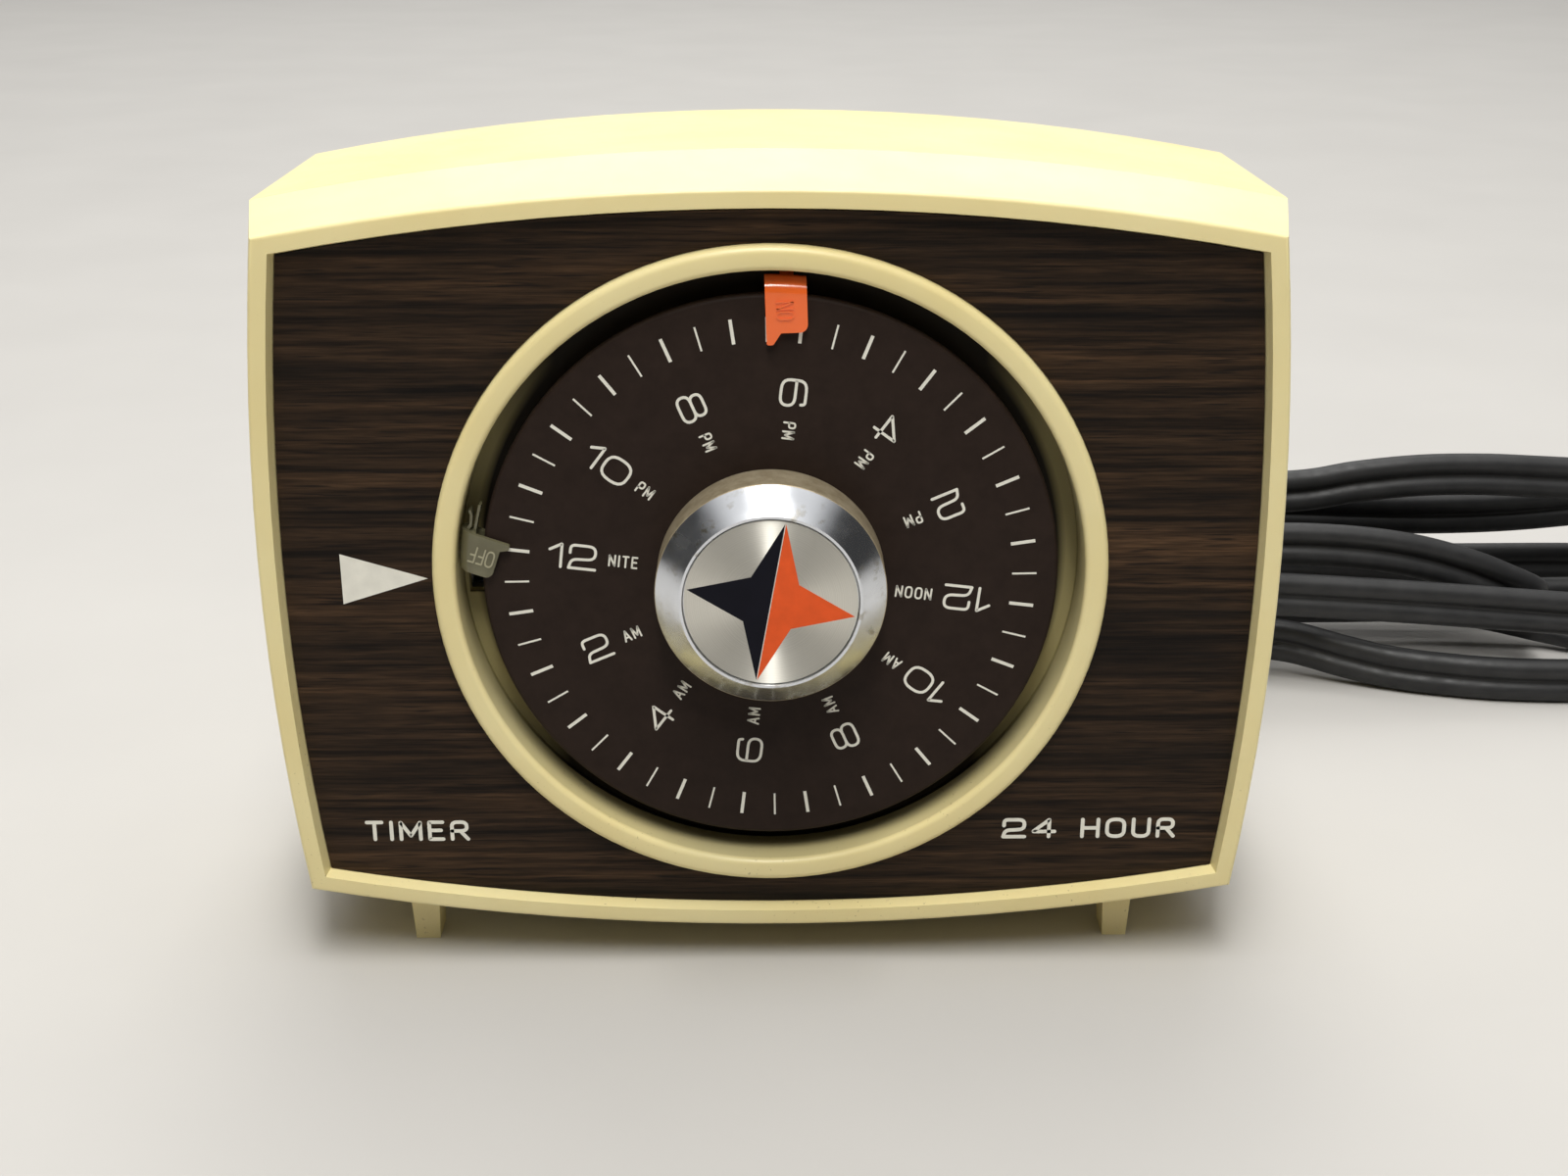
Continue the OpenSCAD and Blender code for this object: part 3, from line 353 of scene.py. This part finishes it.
def cream_plastic():
    """Aged cream moulding: blotchy yellowing, faint orange peel, dust and grime in the low corners, and
    painted shade in the dial well.
    """
    s = Shader("cream_plastic")
    yellow = s.noise(28, 3, 0.55)
    base = s.mix(s.ramp(yellow, (0.35, 0.0), (0.70, 1.0)), (0.83, 0.725, 0.385), (0.79, 0.665, 0.32))
    low = s.ramp(s.math("MULTIPLY", s.part("Z"), 1 / DECIMETRE), (0.05, 1.0), (0.55, 0.0))
    specks = s.ramp(s.noise(1500, 2, 0.6), (0.66, 0.0), (0.72, 1.0))
    patch = s.ramp(s.noise(60, 3, 0.6), (0.45, 0.0), (0.62, 1.0))
    dirt = s.math("MULTIPLY", s.math("MULTIPLY", specks, patch), s.math("ADD", low, 0.12, clamp=True))
    # Painted shade in the dial well; its mask also lowers the coat and the specular on the shaded walls
    colour, well_shade_mask = paint_well_shade(s, s.mix(s.math("MULTIPLY", dirt, 0.75), base, GRIME))
    s.set(Base_Color=colour, Roughness=s.ramp(s.noise(220, 3), (0.3, 0.34), (0.7, 0.44)))
    s.set(Coat_Weight=s.math("SUBTRACT", 0.12, s.math("MULTIPLY", well_shade_mask, 0.12)), Coat_Roughness=0.2)
    s.set(Specular_IOR_Level=s.math("SUBTRACT", 0.4, s.math("MULTIPLY", well_shade_mask, 0.32)))
    s.set(Subsurface_Weight=0.06, Subsurface_Scale=1.5 * MM)
    s.bsdf.inputs["Subsurface Radius"].default_value = (1.0, 0.8, 0.4)
    return s.bump(s.noise(1400, 2), 0.08, 0.03 * MM).material


def walnut_film():
    """Printed walnut: long dark bands, fine fibres and short pores, all running left to right."""
    s = Shader("walnut_film")
    bands = s.noise((7, 7, 120), 4, 0.62, 0.5)
    streaks = s.noise((24, 24, 900), 3, 0.6, 0.25, (3, 0, 1))
    fibres = s.noise((160, 160, 3400), 2, 0.6)
    broad = s.ramp(bands, (0.32, (0.010, 0.0058, 0.0032)), (0.52, (0.030, 0.0165, 0.0082)),
                   (0.72, (0.066, 0.035, 0.0165)))
    line = s.ramp(streaks, (0.34, 0.24), (0.5, 0.9), (0.66, 1.5))
    fine = s.ramp(fibres, (0.3, 0.62), (0.7, 1.30))
    colour = s.mix(1.0, s.mix(1.0, broad, line, "MULTIPLY"), fine, "MULTIPLY")
    pores = s.ramp(s.noise((95, 95, 2600), 1, 0.5, 0.0, (9, 0, 4)), (0.60, 0.0), (0.68, 0.8))
    colour = s.mix(pores, colour, (0.006, 0.004, 0.003))
    s.set(Base_Color=colour, Roughness=s.ramp(streaks, (0.3, 0.56), (0.7, 0.44)), Specular_IOR_Level=0.15)
    return s.bump(s.math("ADD", fibres, s.math("MULTIPLY", streaks, 1.5)), 0.25, 0.04 * MM).material


def dial_brown():
    """Satin dark brown, with a fine tooth."""
    s = Shader("dial_brown")
    tone = s.ramp(s.noise(300, 4, 0.7), (0.3, (0.0190, 0.0115, 0.0085)), (0.7, (0.0260, 0.0160, 0.0120)))
    s.set(Base_Color=tone, Specular_IOR_Level=0.12)
    s.set(Roughness=s.ramp(s.noise(90, 3), (0.3, 0.5), (0.7, 0.6)))
    return s.bump(s.noise(2600, 2), 0.22, 0.03 * MM).material


def plain(name, base, rough, spread=0.08, metallic=0.0, grain=900, depth=0.1, **extra):
    """A material with gentle colour and gloss variation and a fine surface grain."""
    s = Shader(name)
    darker = tuple(c * (1 - spread) for c in base)
    lighter = tuple(min(1.0, c * (1 + spread)) for c in base)
    s.set(Base_Color=s.ramp(s.noise(grain / 6, 3), (0.3, darker), (0.7, lighter)))
    s.set(Roughness=s.ramp(s.noise(grain / 3, 3), (0.3, rough * 0.85), (0.7, min(1.0, rough * 1.15))))
    s.set(Metallic=metallic, **extra)
    return s.bump(s.noise(grain, 2), depth, 0.03 * MM).material


WALL_SKIN = 0.12 * MM


def chrome():
    """Bright plating with tarnish spots, worn to a dull tan on the knob's side."""
    s = Shader("knob_plating")
    spots = s.ramp(s.noise(420, 4, 0.6), (0.56, 0.0), (0.66, 1.0))
    cloud = s.ramp(s.noise(120, 3, 0.6), (0.4, 0.0), (0.65, 1.0))
    wear = s.math("MULTIPLY", spots, cloud)
    wall = s.math("GREATER_THAN", s.radius(), KNOB_R - WALL_SKIN)
    grime = s.ramp(s.noise(500, 4, 0.7), (0.3, (0.30, 0.24, 0.15)), (0.7, (0.46, 0.39, 0.27)))
    plating = s.mix(wear, (0.70, 0.72, 0.76), (0.36, 0.33, 0.26))
    s.set(Base_Color=s.mix(wall, plating, grime))
    s.set(Metallic=s.math("SUBTRACT", 1.0, s.math("MULTIPLY", wall, 0.5)))
    gloss = s.ramp(s.math("ADD", s.math("MULTIPLY", wear, 0.6), cloud), (0.0, 0.15), (1.0, 0.28))
    s.set(Roughness=s.math("MAXIMUM", gloss, s.math("MULTIPLY", wall, 0.5)))
    return s.bump(s.noise(900, 2), 0.03, 0.02 * MM).material


GROOVES_PER_METRE = 9000.0


def spun_aluminium():
    """Circular grooves about the dial's axis, which spread the light into bright wedges."""
    s = Shader("spun_aluminium")
    rings = s.nodes.new("ShaderNodeTexNoise")
    rings.noise_dimensions = "1D"
    s.plug(rings.inputs["W"], s.math("MULTIPLY", s.radius(), GROOVES_PER_METRE))
    rings.inputs["Scale"].default_value = 1
    rings.inputs["Detail"].default_value = 2
    tangent = s.nodes.new("ShaderNodeTangent")
    tangent.direction_type = "RADIAL"
    tangent.axis = "Y"
    s.set(Base_Color=s.ramp(rings.outputs["Fac"], (0.3, (0.76, 0.74, 0.67)), (0.7, (0.88, 0.86, 0.79))))
    s.set(Metallic=1.0, Roughness=0.5)
    s.set(Anisotropic=0.97, Anisotropic_Rotation=0.25, Tangent=tangent.outputs[0])
    return s.bump(rings.outputs["Fac"], 0.05, 0.02 * MM).material


def smoke_plastic():
    """Smoky plastic that lets some light through."""
    s = Shader("smoke_plastic")
    s.set(Base_Color=s.ramp(s.noise(300, 2), (0.3, (0.17, 0.155, 0.085)), (0.7, (0.22, 0.205, 0.12))))
    s.set(Roughness=0.25, Transmission_Weight=0.35, IOR=1.49)
    return s.bump(s.noise(800, 2), 0.06, 0.03 * MM).material


def brushed(name, base, rough):
    """Metal sheet brushed left to right."""
    s = Shader(name)
    lines = s.noise((60, 60, 4000), 3, 0.6)
    darker = tuple(c * 0.85 for c in base)
    s.set(Base_Color=s.ramp(lines, (0.3, darker), (0.7, base)), Metallic=1.0)
    s.set(Roughness=s.ramp(lines, (0.3, rough * 0.8), (0.7, rough * 1.2)))
    return s.bump(lines, 0.05, 0.02 * MM).material


def cord_vinyl():
    """Black vinyl with a leathery skin."""
    s = Shader("cord_vinyl")
    tone = s.ramp(s.noise(160, 4, 0.6), (0.3, (0.0095, 0.0098, 0.0105)), (0.75, (0.021, 0.021, 0.022)))
    s.set(Base_Color=tone, Specular_IOR_Level=0.45)
    s.set(Roughness=s.ramp(s.noise(420, 4, 0.6), (0.3, 0.42), (0.7, 0.60)))
    return s.bump(s.noise(2200, 3), 0.25, 0.05 * MM).material


CREAM = cream_plastic()
WALNUT = walnut_film()
DIAL = dial_brown()
WHITE_INK = plain("white_ink", (0.80, 0.78, 0.69), 0.5, 0.05, grain=2600)
BLACK_INK = plain("black_ink", (0.006, 0.006, 0.011), 0.45, 0.1, grain=2600, Specular_IOR_Level=0.1)
ORANGE_INK = plain("orange_ink", (0.80, 0.105, 0.022), 0.45, 0.06, grain=2600, Specular_IOR_Level=0.15)
CHROME = chrome()
SPUN = spun_aluminium()
ORANGE = plain("orange_plastic", (0.90, 0.15, 0.024), 0.16, 0.05, Specular_IOR_Level=0.6)
SMOKE = smoke_plastic()
# Paler smoke for the raised OFF letters: a painted highlight on them
SMOKE_PAINTED_HIGHLIGHT = plain("smoke_painted_highlight", (0.36, 0.335, 0.22), 0.3, 0.08)
STEEL = brushed("zinc_steel", (0.62, 0.62, 0.63), 0.32)
BRASS = brushed("turned_brass", (0.72, 0.50, 0.19), 0.28)
SILVER = brushed("contact_silver_metal", (0.82, 0.80, 0.76), 0.22)
PLATE = brushed("blank_plate", (0.66, 0.66, 0.65), 0.38)
PHENOLIC = plain("phenolic", (0.050, 0.026, 0.017), 0.36, 0.15)
NYLON = plain("nylon", (0.72, 0.68, 0.57), 0.42, 0.05, Subsurface_Weight=0.15)
COPPER = brushed("copper_winding", (0.45, 0.17, 0.08), 0.4)
CORD = cord_vinyl()
PLUG = plain("plug_vinyl", (0.013, 0.013, 0.014), 0.5, 0.2, grain=1500, depth=0.3)

NODE_LOOKS = {
    CREAM: ["front_housing", "rear_cover", "front_feet", "rear_feet"],
    WALNUT: ["wood_panel"],
    DIAL: ["dial_disc"],
    CHROME: ["knob_body"],
    SPUN: ["knob_inlay"],
    ORANGE: ["tripper_on"],
    SMOKE: ["tripper_off"],
    STEEL: ["case_screws", "dial_arbor", "front_plate", "rear_plate", "plate_pillars", "plate_screws",
            "clutch_spring", "idler_arbor", "motor_shaft", "motor_can", "motor_end_plate", "motor_screws",
            "lever_pivot", "arm_pivot", "terminal_screws"],
    BRASS: ["front_bush", "rear_bush", "dial_gear", "clutch_collar", "idler_pinion", "idler_gear",
            "motor_pinion", "contact_arm", "receptacle_contacts", "plug_blades"],
    SILVER: ["moving_contact", "fixed_contact"],
    PLATE: ["rating_plate"],
    PHENOLIC: ["dial_hub", "switch_base", "receptacle_body"],
    NYLON: ["trip_lever"],
    COPPER: ["motor_coil"],
    CORD: ["inner_leads", "power_cord"],
    PLUG: ["plug_body", "strain_relief"],
}
SMOOTH_ANGLE = math.radians(28)
WELD_GAP = 0.002 * MM


def dress_cad_nodes():
    for material, names in NODE_LOOKS.items():
        for name in names:
            obj = frame["nodes"][name]
            obj.data.materials.clear()
            obj.data.materials.append(material)
            obj.data.polygons.foreach_set("use_smooth", [True] * len(obj.data.polygons))
            weld = obj.modifiers.new("weld", "WELD")
            weld.merge_threshold = WELD_GAP
            split = obj.modifiers.new("crease", "EDGE_SPLIT")
            split.split_angle = SMOOTH_ANGLE
            split.use_edge_sharp = False


# ---------------------------------------------------------------- dial marks

MIDNIGHT = 173.3
TICKS = 48
TICK_OUT = 41.4 * MM
TICK_IN = 37.6 * MM
HOUR_PEN = 0.52 * MM
HALF_PEN = 0.29 * MM
NUMERAL_START = 31.9 * MM
NUMERAL_START_WIDE = 34.5 * MM
NUMERAL_CAP = 3.8 * MM
NUMERAL_PEN = 0.44 * MM
NUMERAL_GAP = 1.25 * MM
NUMERAL_STRETCH = 1.2
WORD_START = 25.2 * MM
WORD_CAP = 1.72 * MM
WORD_PEN = 0.29 * MM
WORD_GAP = 0.62 * MM
WORD_STRETCH = 0.76
LABELS = [("12", "NITE"), ("2", "AM"), ("4", "AM"), ("6", "AM"), ("8", "AM"), ("10", "AM"),
          ("12", "NOON"), ("2", "PM"), ("4", "PM"), ("6", "PM"), ("8", "PM"), ("10", "PM")]


def dial_ticks():
    """A mark for each half hour, wider on the hours."""
    sheet = Print(DIAL_Y)
    for i in range(TICKS):
        angle = MIDNIGHT + i * 360 / TICKS
        pen = HALF_PEN if i % 2 else HOUR_PEN
        sheet.stroke([on_circle(TICK_IN, angle), on_circle(TICK_OUT, angle)], pen, square=True)
    sheet.build("dial_ticks", "dial", WHITE_INK)


def dial_labels():
    """Hours and words, read from the rim towards the centre."""
    sheet = Print(DIAL_Y)
    for i, (hour, word) in enumerate(LABELS):
        angle = MIDNIGHT + i * 360 / len(LABELS)
        a = math.radians(angle)
        across = Vector((-math.cos(a), -math.sin(a)))
        up = Vector((math.sin(a), -math.cos(a)))
        start = NUMERAL_START_WIDE if len(hour) == 2 else NUMERAL_START
        low = on_circle(start, angle) - up * NUMERAL_CAP / 2
        write(sheet, hour, low, across, up, NUMERAL_CAP, NUMERAL_GAP, NUMERAL_PEN, NUMERAL_STRETCH)
        low = on_circle(WORD_START, angle) - up * WORD_CAP / 2
        write(sheet, word, low, across, up, WORD_CAP, WORD_GAP, WORD_PEN, WORD_STRETCH)
    sheet.build("dial_numerals", "dial", WHITE_INK)


INDEX_BASE = -66.7 * MM
INDEX_TIP = -53.3 * MM
INDEX_HALF = 4.15 * MM
INDEX_RISE = 0.1 * MM
PANEL_WORDS = (("TIMER", -66 * MM), ("24 HOUR", 38 * MM))
PANEL_DROP = 45.6 * MM
PANEL_CAP = 3.1 * MM
PANEL_GAP = 1.5 * MM
PANEL_PEN = 0.62 * MM
PANEL_STRETCH = 1.25


def panel_marks():
    """The index triangle at the left of the dial, and two plain words."""
    sheet = Print(PANEL_Y)
    sheet.prism([(INDEX_BASE, AXIS_Z - INDEX_HALF), (INDEX_TIP, AXIS_Z + INDEX_RISE),
                 (INDEX_BASE, AXIS_Z + INDEX_HALF)])
    sheet.build("index_triangle", "case", WHITE_INK)
    words = Print(PANEL_Y)
    across, up = Vector((1, 0)), Vector((0, 1))
    for text, left in PANEL_WORDS:
        low = Vector((left, AXIS_Z - PANEL_DROP))
        write(words, text, low, across, up, PANEL_CAP, PANEL_GAP, PANEL_PEN, PANEL_STRETCH)
    words.build("panel_words", "case", WHITE_INK)


# ---------------------------------------------------------------- raised words on the trippers

RAISED = 0.14 * MM
ON_ANGLE = 87
ON_LEAN = 5
ON_REACH = 42.6 * MM
OFF_ANGLE = 175
OFF_LEAN = -14
OFF_REACH = 44.8 * MM
TRIPPER_CAP = 2.5 * MM
TRIPPER_PEN = 0.24 * MM
TRIPPER_GAP = 0.45 * MM
TRIPPER_STRETCH = 0.62


def tripper_word(node, body, text, angle, reach, lean, material):
    """Raised word on the front of a tripper, read from its inner end outwards."""
    a = math.radians(angle + lean)
    across = Vector((math.cos(a), math.sin(a)))
    up = Vector((-math.sin(a), math.cos(a)))
    length = text_width(text, TRIPPER_CAP, TRIPPER_GAP, TRIPPER_STRETCH)
    low = on_circle(reach, angle) - across * length / 2 - up * TRIPPER_CAP / 2
    sheet = Print(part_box(node)[0].y, RAISED)
    write(sheet, text, low, across, up, TRIPPER_CAP, TRIPPER_GAP, TRIPPER_PEN, TRIPPER_STRETCH)
    sheet.build(node + "_word", body, material)


# ---------------------------------------------------------------- knob

STAR_TURN = 80
STAR_TIP = 12.8 * MM
STAR_WAIST = 5.1 * MM
STAR_SEAM = 0.07 * MM


def knob_star():
    """Plain four-pointed star, one half black and one half orange, printed on the inlay."""
    for name, side, material, slot in (("star_dark_half", 1, BLACK_INK, "print_black"),
                                       ("star_orange_half", -1, ORANGE_INK, "print_orange")):
        shift = on_circle(STAR_SEAM, STAR_TURN + 90 * side) - on_circle(0, 0)
        outline = [on_circle(STAR_WAIST if i % 2 else STAR_TIP, STAR_TURN + 45 * i * side) + shift
                   for i in range(5)]
        sheet = Print(INLAY_Y)
        sheet.prism(outline if side > 0 else outline[::-1])
        sheet.build(name, "dial", material)


# ---------------------------------------------------------------- cord

CORD_H = 9.6 * MM
CORD_T = 4.8 * MM
CORD_SPACING = 1.6 * MM
SPLINE_STEPS = 40
LOBE_ANGLES = range(-62, 243, 19)

# Centre line of the cord in millimetres: CORD_EXIT is from the hole in the back, CORD_END from the
# plug, and the rest from the point on the table under the middle of the case
CORD_EXIT = [(0, -20, 0), (0, -8, 0), (0, 3, 0), (0, 7, 0), (2, 17, -7)]
CORD_DOWN = [(57, 64, 15), (69, 75, 8), (84, 83, 6.2)]
LOW_LOOP = [
    (99, 87, 7.5), (113, 85, 8), (126, 80, 6.2), (134, 77, 5.2), (143, 74, 4.9), (157, 70.8, 4.8),
    (174, 69.7, 4.8), (190, 70.5, 4.8), (202, 74.5, 4.8), (208, 82, 4.8), (203, 89.5, 4.9),
    (190, 94, 5.1), (177, 98.6, 6.4), (163, 101.2, 8.8), (150, 102, 10.2), (130, 101.8, 10.3),
    (104, 101.6, 10.2), (75, 101.2, 9.6), (45, 99.8, 8.4)]
MIDDLE_LOOP = [
    (26, 98, 8.7), (16.5, 95.8, 11), (13, 91, 14.3), (16, 86.4, 18), (25, 84.6, 22), (45, 83.5, 27),
    (75, 84, 30), (104, 84, 31), (122, 84, 30.6), (138, 84, 28.6), (152, 84, 24.8), (162, 84.6, 20.6),
    (168, 86.4, 17.4), (170, 90, 15.4), (168, 93.6, 14.6), (161, 95.2, 15), (150, 95.5, 16.2),
    (130, 95.5, 18.6), (104, 95.2, 20), (75, 95, 20.4), (54, 95, 21.8)]
TOP_LOOP = [
    (42, 95.4, 24), (34.5, 96.6, 26.8), (32.3, 100.2, 29.8), (34.5, 103.6, 32.4), (44, 104.6, 34.4),
    (62, 104.6, 35.3), (90, 104, 35.6), (118, 104, 36.4), (132, 104, 38.6), (146, 104, 40),
    (160, 104, 40.2), (173, 104, 39.6), (190, 104, 38.6), (206, 104.6, 37.2), (216, 106.6, 35.8),
    (219, 110.6, 34.2), (216, 114.6, 32.6), (204, 116, 30.8), (188, 115.6, 29), (172, 114.6, 27.9),
    (156, 114, 27.5), (140, 114, 27.6), (120, 114, 28.2), (90, 114, 28.6), (60, 114, 28.4)]
REAR_LOOP = [
    (42, 114.6, 27), (33.5, 117.6, 24.6), (32.8, 121, 21.6), (38, 124, 18), (52, 123.6, 15.4),
    (80, 122, 13.6), (120, 121.6, 12.6), (160, 121.6, 12.4), (190, 121.6, 12.4), (206, 120.6, 12),
    (214.5, 117.6, 11.3), (215, 113, 10.5), (208, 109.6, 9.6), (190, 109, 8.7), (160, 109.4, 8.2),
    (120, 110, 8), (80, 110, 8), (45, 109.8, 9)]
LAST_STRAND = [
    (20, 109, 12.5), (2, 105, 19), (-5, 94.5, 25), (5, 81.5, 27.6), (28, 75, 26.8), (58, 74, 25.2),
    (86, 75.2, 23.8), (112, 76, 22.3), (140, 76, 20.4), (172, 76, 17.8), (198, 74.5, 16.6),
    (222, 70.8, 13.6)]
PATH = CORD_DOWN + LOW_LOOP + MIDDLE_LOOP + TOP_LOOP + REAR_LOOP + LAST_STRAND
CORD_END = [(-18, 0.6, 1.2), (-10, 0, 0), (8, 0, 0), (20, 0, 0)]


def cord_knots():
    """Knots of the cord's centre line, from inside the case to inside the plug."""
    relief_lo, relief_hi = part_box("strain_relief")
    plug_lo, plug_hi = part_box("plug_body")
    exit_at = Vector(((relief_lo.x + relief_hi.x) / 2, BACK_Y, (relief_lo.z + relief_hi.z) / 2))
    plug_at = Vector((plug_lo.x, (plug_lo.y + plug_hi.y) / 2, (plug_lo.z + plug_hi.z) / 2))
    home = Vector((0, (FACE_Y + BACK_Y) / 2, 0))
    start = [exit_at + Vector(d) * MM for d in CORD_EXIT]
    loops = [home + Vector(p) * MM for p in PATH]
    end = [plug_at + Vector(d) * MM for d in CORD_END]
    return start + loops + end


def spline(points, spacing):
    """Evenly spaced points of a Catmull-Rom curve through all points but the first and the last."""
    fine = []
    for k in range(1, len(points) - 2):
        p0, p1, p2, p3 = points[k - 1:k + 3]
        for i in range(SPLINE_STEPS):
            u = i / SPLINE_STEPS
            fine.append(0.5 * (2 * p1 + (p2 - p0) * u + (2 * p0 - 5 * p1 + 4 * p2 - p3) * u * u
                               + (3 * p1 - p0 - 3 * p2 + p3) * u ** 3))
    fine.append(points[-2].copy())
    out, left = [fine[0]], spacing
    for a, b in zip(fine, fine[1:]):
        length = (b - a).length
        at = left
        while at <= length:
            out.append(a.lerp(b, at / length))
            at += spacing
        left = at - length
    return out


def cord_section():
    """Two round wires side by side, joined at a narrow waist."""
    r = CORD_T / 2
    lobe = CORD_H / 2 - r
    top = [(r * math.cos(math.radians(a)), lobe + r * math.sin(math.radians(a))) for a in LOBE_ANGLES]
    return top + [(-x, -z) for x, z in top]


def power_cord():
    """The visible cord: the section swept along the path, standing on edge."""
    path = spline(cord_knots(), CORD_SPACING)
    section = cord_section()
    n = len(section)
    vertices, faces = [], []
    for i, p in enumerate(path):
        along = (path[min(i + 1, len(path) - 1)] - path[max(i - 1, 0)]).normalized()
        side = along.cross(Vector((0, 0, 1))).normalized()
        up = side.cross(along)
        for x, z in section:
            vertices.append(p + side * x + up * z)
    for i in range(len(path) - 1):
        for j in range(n):
            a, b = i * n + j, i * n + (j + 1) % n
            faces.append([a, b, b + n, a + n])
    faces.append(list(range(n))[::-1])
    faces.append([(len(path) - 1) * n + j for j in range(n)])
    cord = new_object("twin_cord", vertices, faces)
    cord.data.materials.append(CORD)
    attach(cord, "case")
    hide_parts("power_cord")


# ---------------------------------------------------------------- stage, light and camera

FLOOR_HALF = 8
FLOOR_COLOUR = (0.50, 0.486, 0.466)
WARM = (1.0, 0.99, 0.96)
ROOM_WHITE = (1.0, 0.99, 0.97)
BACK_WHITE = (1.0, 1.0, 0.98)
CEILING = 0.85
BACK_WALL = 0.4
ROOM = 0.05
CAMERA_AT = Vector((-0.56, -322.67, 179.72)) * MM
CAMERA_PITCH = 21.3
CAMERA_YAW = -0.516
CAMERA_LENS = 45.96
CAMERA_SENSOR = 36
CAMERA_NEAR = 0.01


def stage():
    corners = [(x * FLOOR_HALF, y * FLOOR_HALF, 0) for x, y in ((-1, -1), (1, -1), (1, 1), (-1, 1))]
    floor = new_object("floor", corners, [[0, 1, 2, 3]], smooth=False)
    s = Shader("floor_paper")
    darker = tuple(c * 0.96 for c in FLOOR_COLOUR)
    s.set(Base_Color=s.ramp(s.noise(14, 4), (0.3, darker), (0.7, FLOOR_COLOUR)))
    s.set(Roughness=0.85)
    floor.data.materials.append(s.material)


def area_light(name, place, target, size, power, colour):
    data = bpy.data.lights.new(name, "AREA")
    data.shape = "RECTANGLE"
    data.size, data.size_y = size
    data.energy = power
    data.color = colour
    light = bpy.data.objects.new(name, data)
    light.location = place
    light.rotation_euler = (Vector(target) - Vector(place)).to_track_quat("-Z", "Y").to_euler()
    bpy.context.scene.collection.objects.link(light)


def lights():
    # name, place, target, size in metres, power in watts, colour
    area_light("tube", (0, -0.42, 1.15), (0, 0.02, 0.05), (0.10, 1.0), 6.0, WARM)
    area_light("front_top", (0, -0.55, 1.15), (0, 0.02, 0.05), (0.34, 0.6), 6.0, WARM)
    area_light("overhead", (0, 0.25, 1.3), (0, 0.05, 0), (0.35, 1.2), 5.8, ROOM_WHITE)
    area_light("backdrop", (0, 1.5, 1.5), (0, 1.35, 0), (1.8, 1.2), 16, BACK_WHITE)


def surroundings():
    """A room that is dim at the front and the sides, pale at the back and bright overhead."""
    world = bpy.data.worlds.new("studio")
    bpy.context.scene.world = world
    world.use_nodes = True
    nodes, links = world.node_tree.nodes, world.node_tree.links
    split = nodes.new("ShaderNodeSeparateXYZ")
    links.new(nodes.new("ShaderNodeTexCoord").outputs["Generated"], split.inputs[0])

    def fade(axis, *stops):
        """Smooth change from one strength to another along a direction's coordinate."""
        ramp = nodes.new("ShaderNodeMapRange")
        ramp.interpolation_type = "SMOOTHSTEP"
        for name, value in zip(("From Min", "From Max", "To Min", "To Max"), stops):
            ramp.inputs[name].default_value = value
        links.new(split.outputs[axis], ramp.inputs["Value"])
        return ramp.outputs["Result"]

    def both(kind, a, b):
        """Two strengths joined; either may be a plain number."""
        node = nodes.new("ShaderNodeMath")
        node.operation = kind
        for socket, value in zip(node.inputs, (a, b)):
            if isinstance(value, float):
                socket.default_value = value
            else:
                links.new(value, socket)
        return node.outputs[0]

    ceiling = fade("Z", 0.55, 0.85, 0.0, CEILING)
    back_wall = both("MULTIPLY", fade("Y", 0.1, 0.6, 0.0, BACK_WALL), fade("Z", 0.9, 0.5, 0.0, 1.0))
    room = both("ADD", both("MAXIMUM", ceiling, back_wall), ROOM)
    nodes["Background"].inputs["Color"].default_value = (*ROOM_WHITE, 1)
    links.new(room, nodes["Background"].inputs["Strength"])


def camera():
    data = bpy.data.cameras.new("camera")
    data.lens = CAMERA_LENS
    data.sensor_width = CAMERA_SENSOR
    data.clip_start = CAMERA_NEAR
    cam = bpy.data.objects.new("camera", data)
    cam.location = CAMERA_AT
    cam.rotation_euler = (math.radians(90 - CAMERA_PITCH), 0, math.radians(CAMERA_YAW))
    bpy.context.scene.collection.objects.link(cam)
    bpy.context.scene.camera = cam


dress_cad_nodes()
dial_ticks()
dial_labels()
panel_marks()
tripper_word("tripper_on", "on_clip", "ON", ON_ANGLE, ON_REACH, ON_LEAN, ORANGE)
# The raised OFF letters take the paler smoke as a painted highlight
tripper_word("tripper_off", "off_clip", "OFF", OFF_ANGLE, OFF_REACH, OFF_LEAN, SMOKE_PAINTED_HIGHLIGHT)
knob_star()
power_cord()
stage()
lights()
surroundings()
camera()
bpy.context.scene.view_settings.view_transform = "Standard"
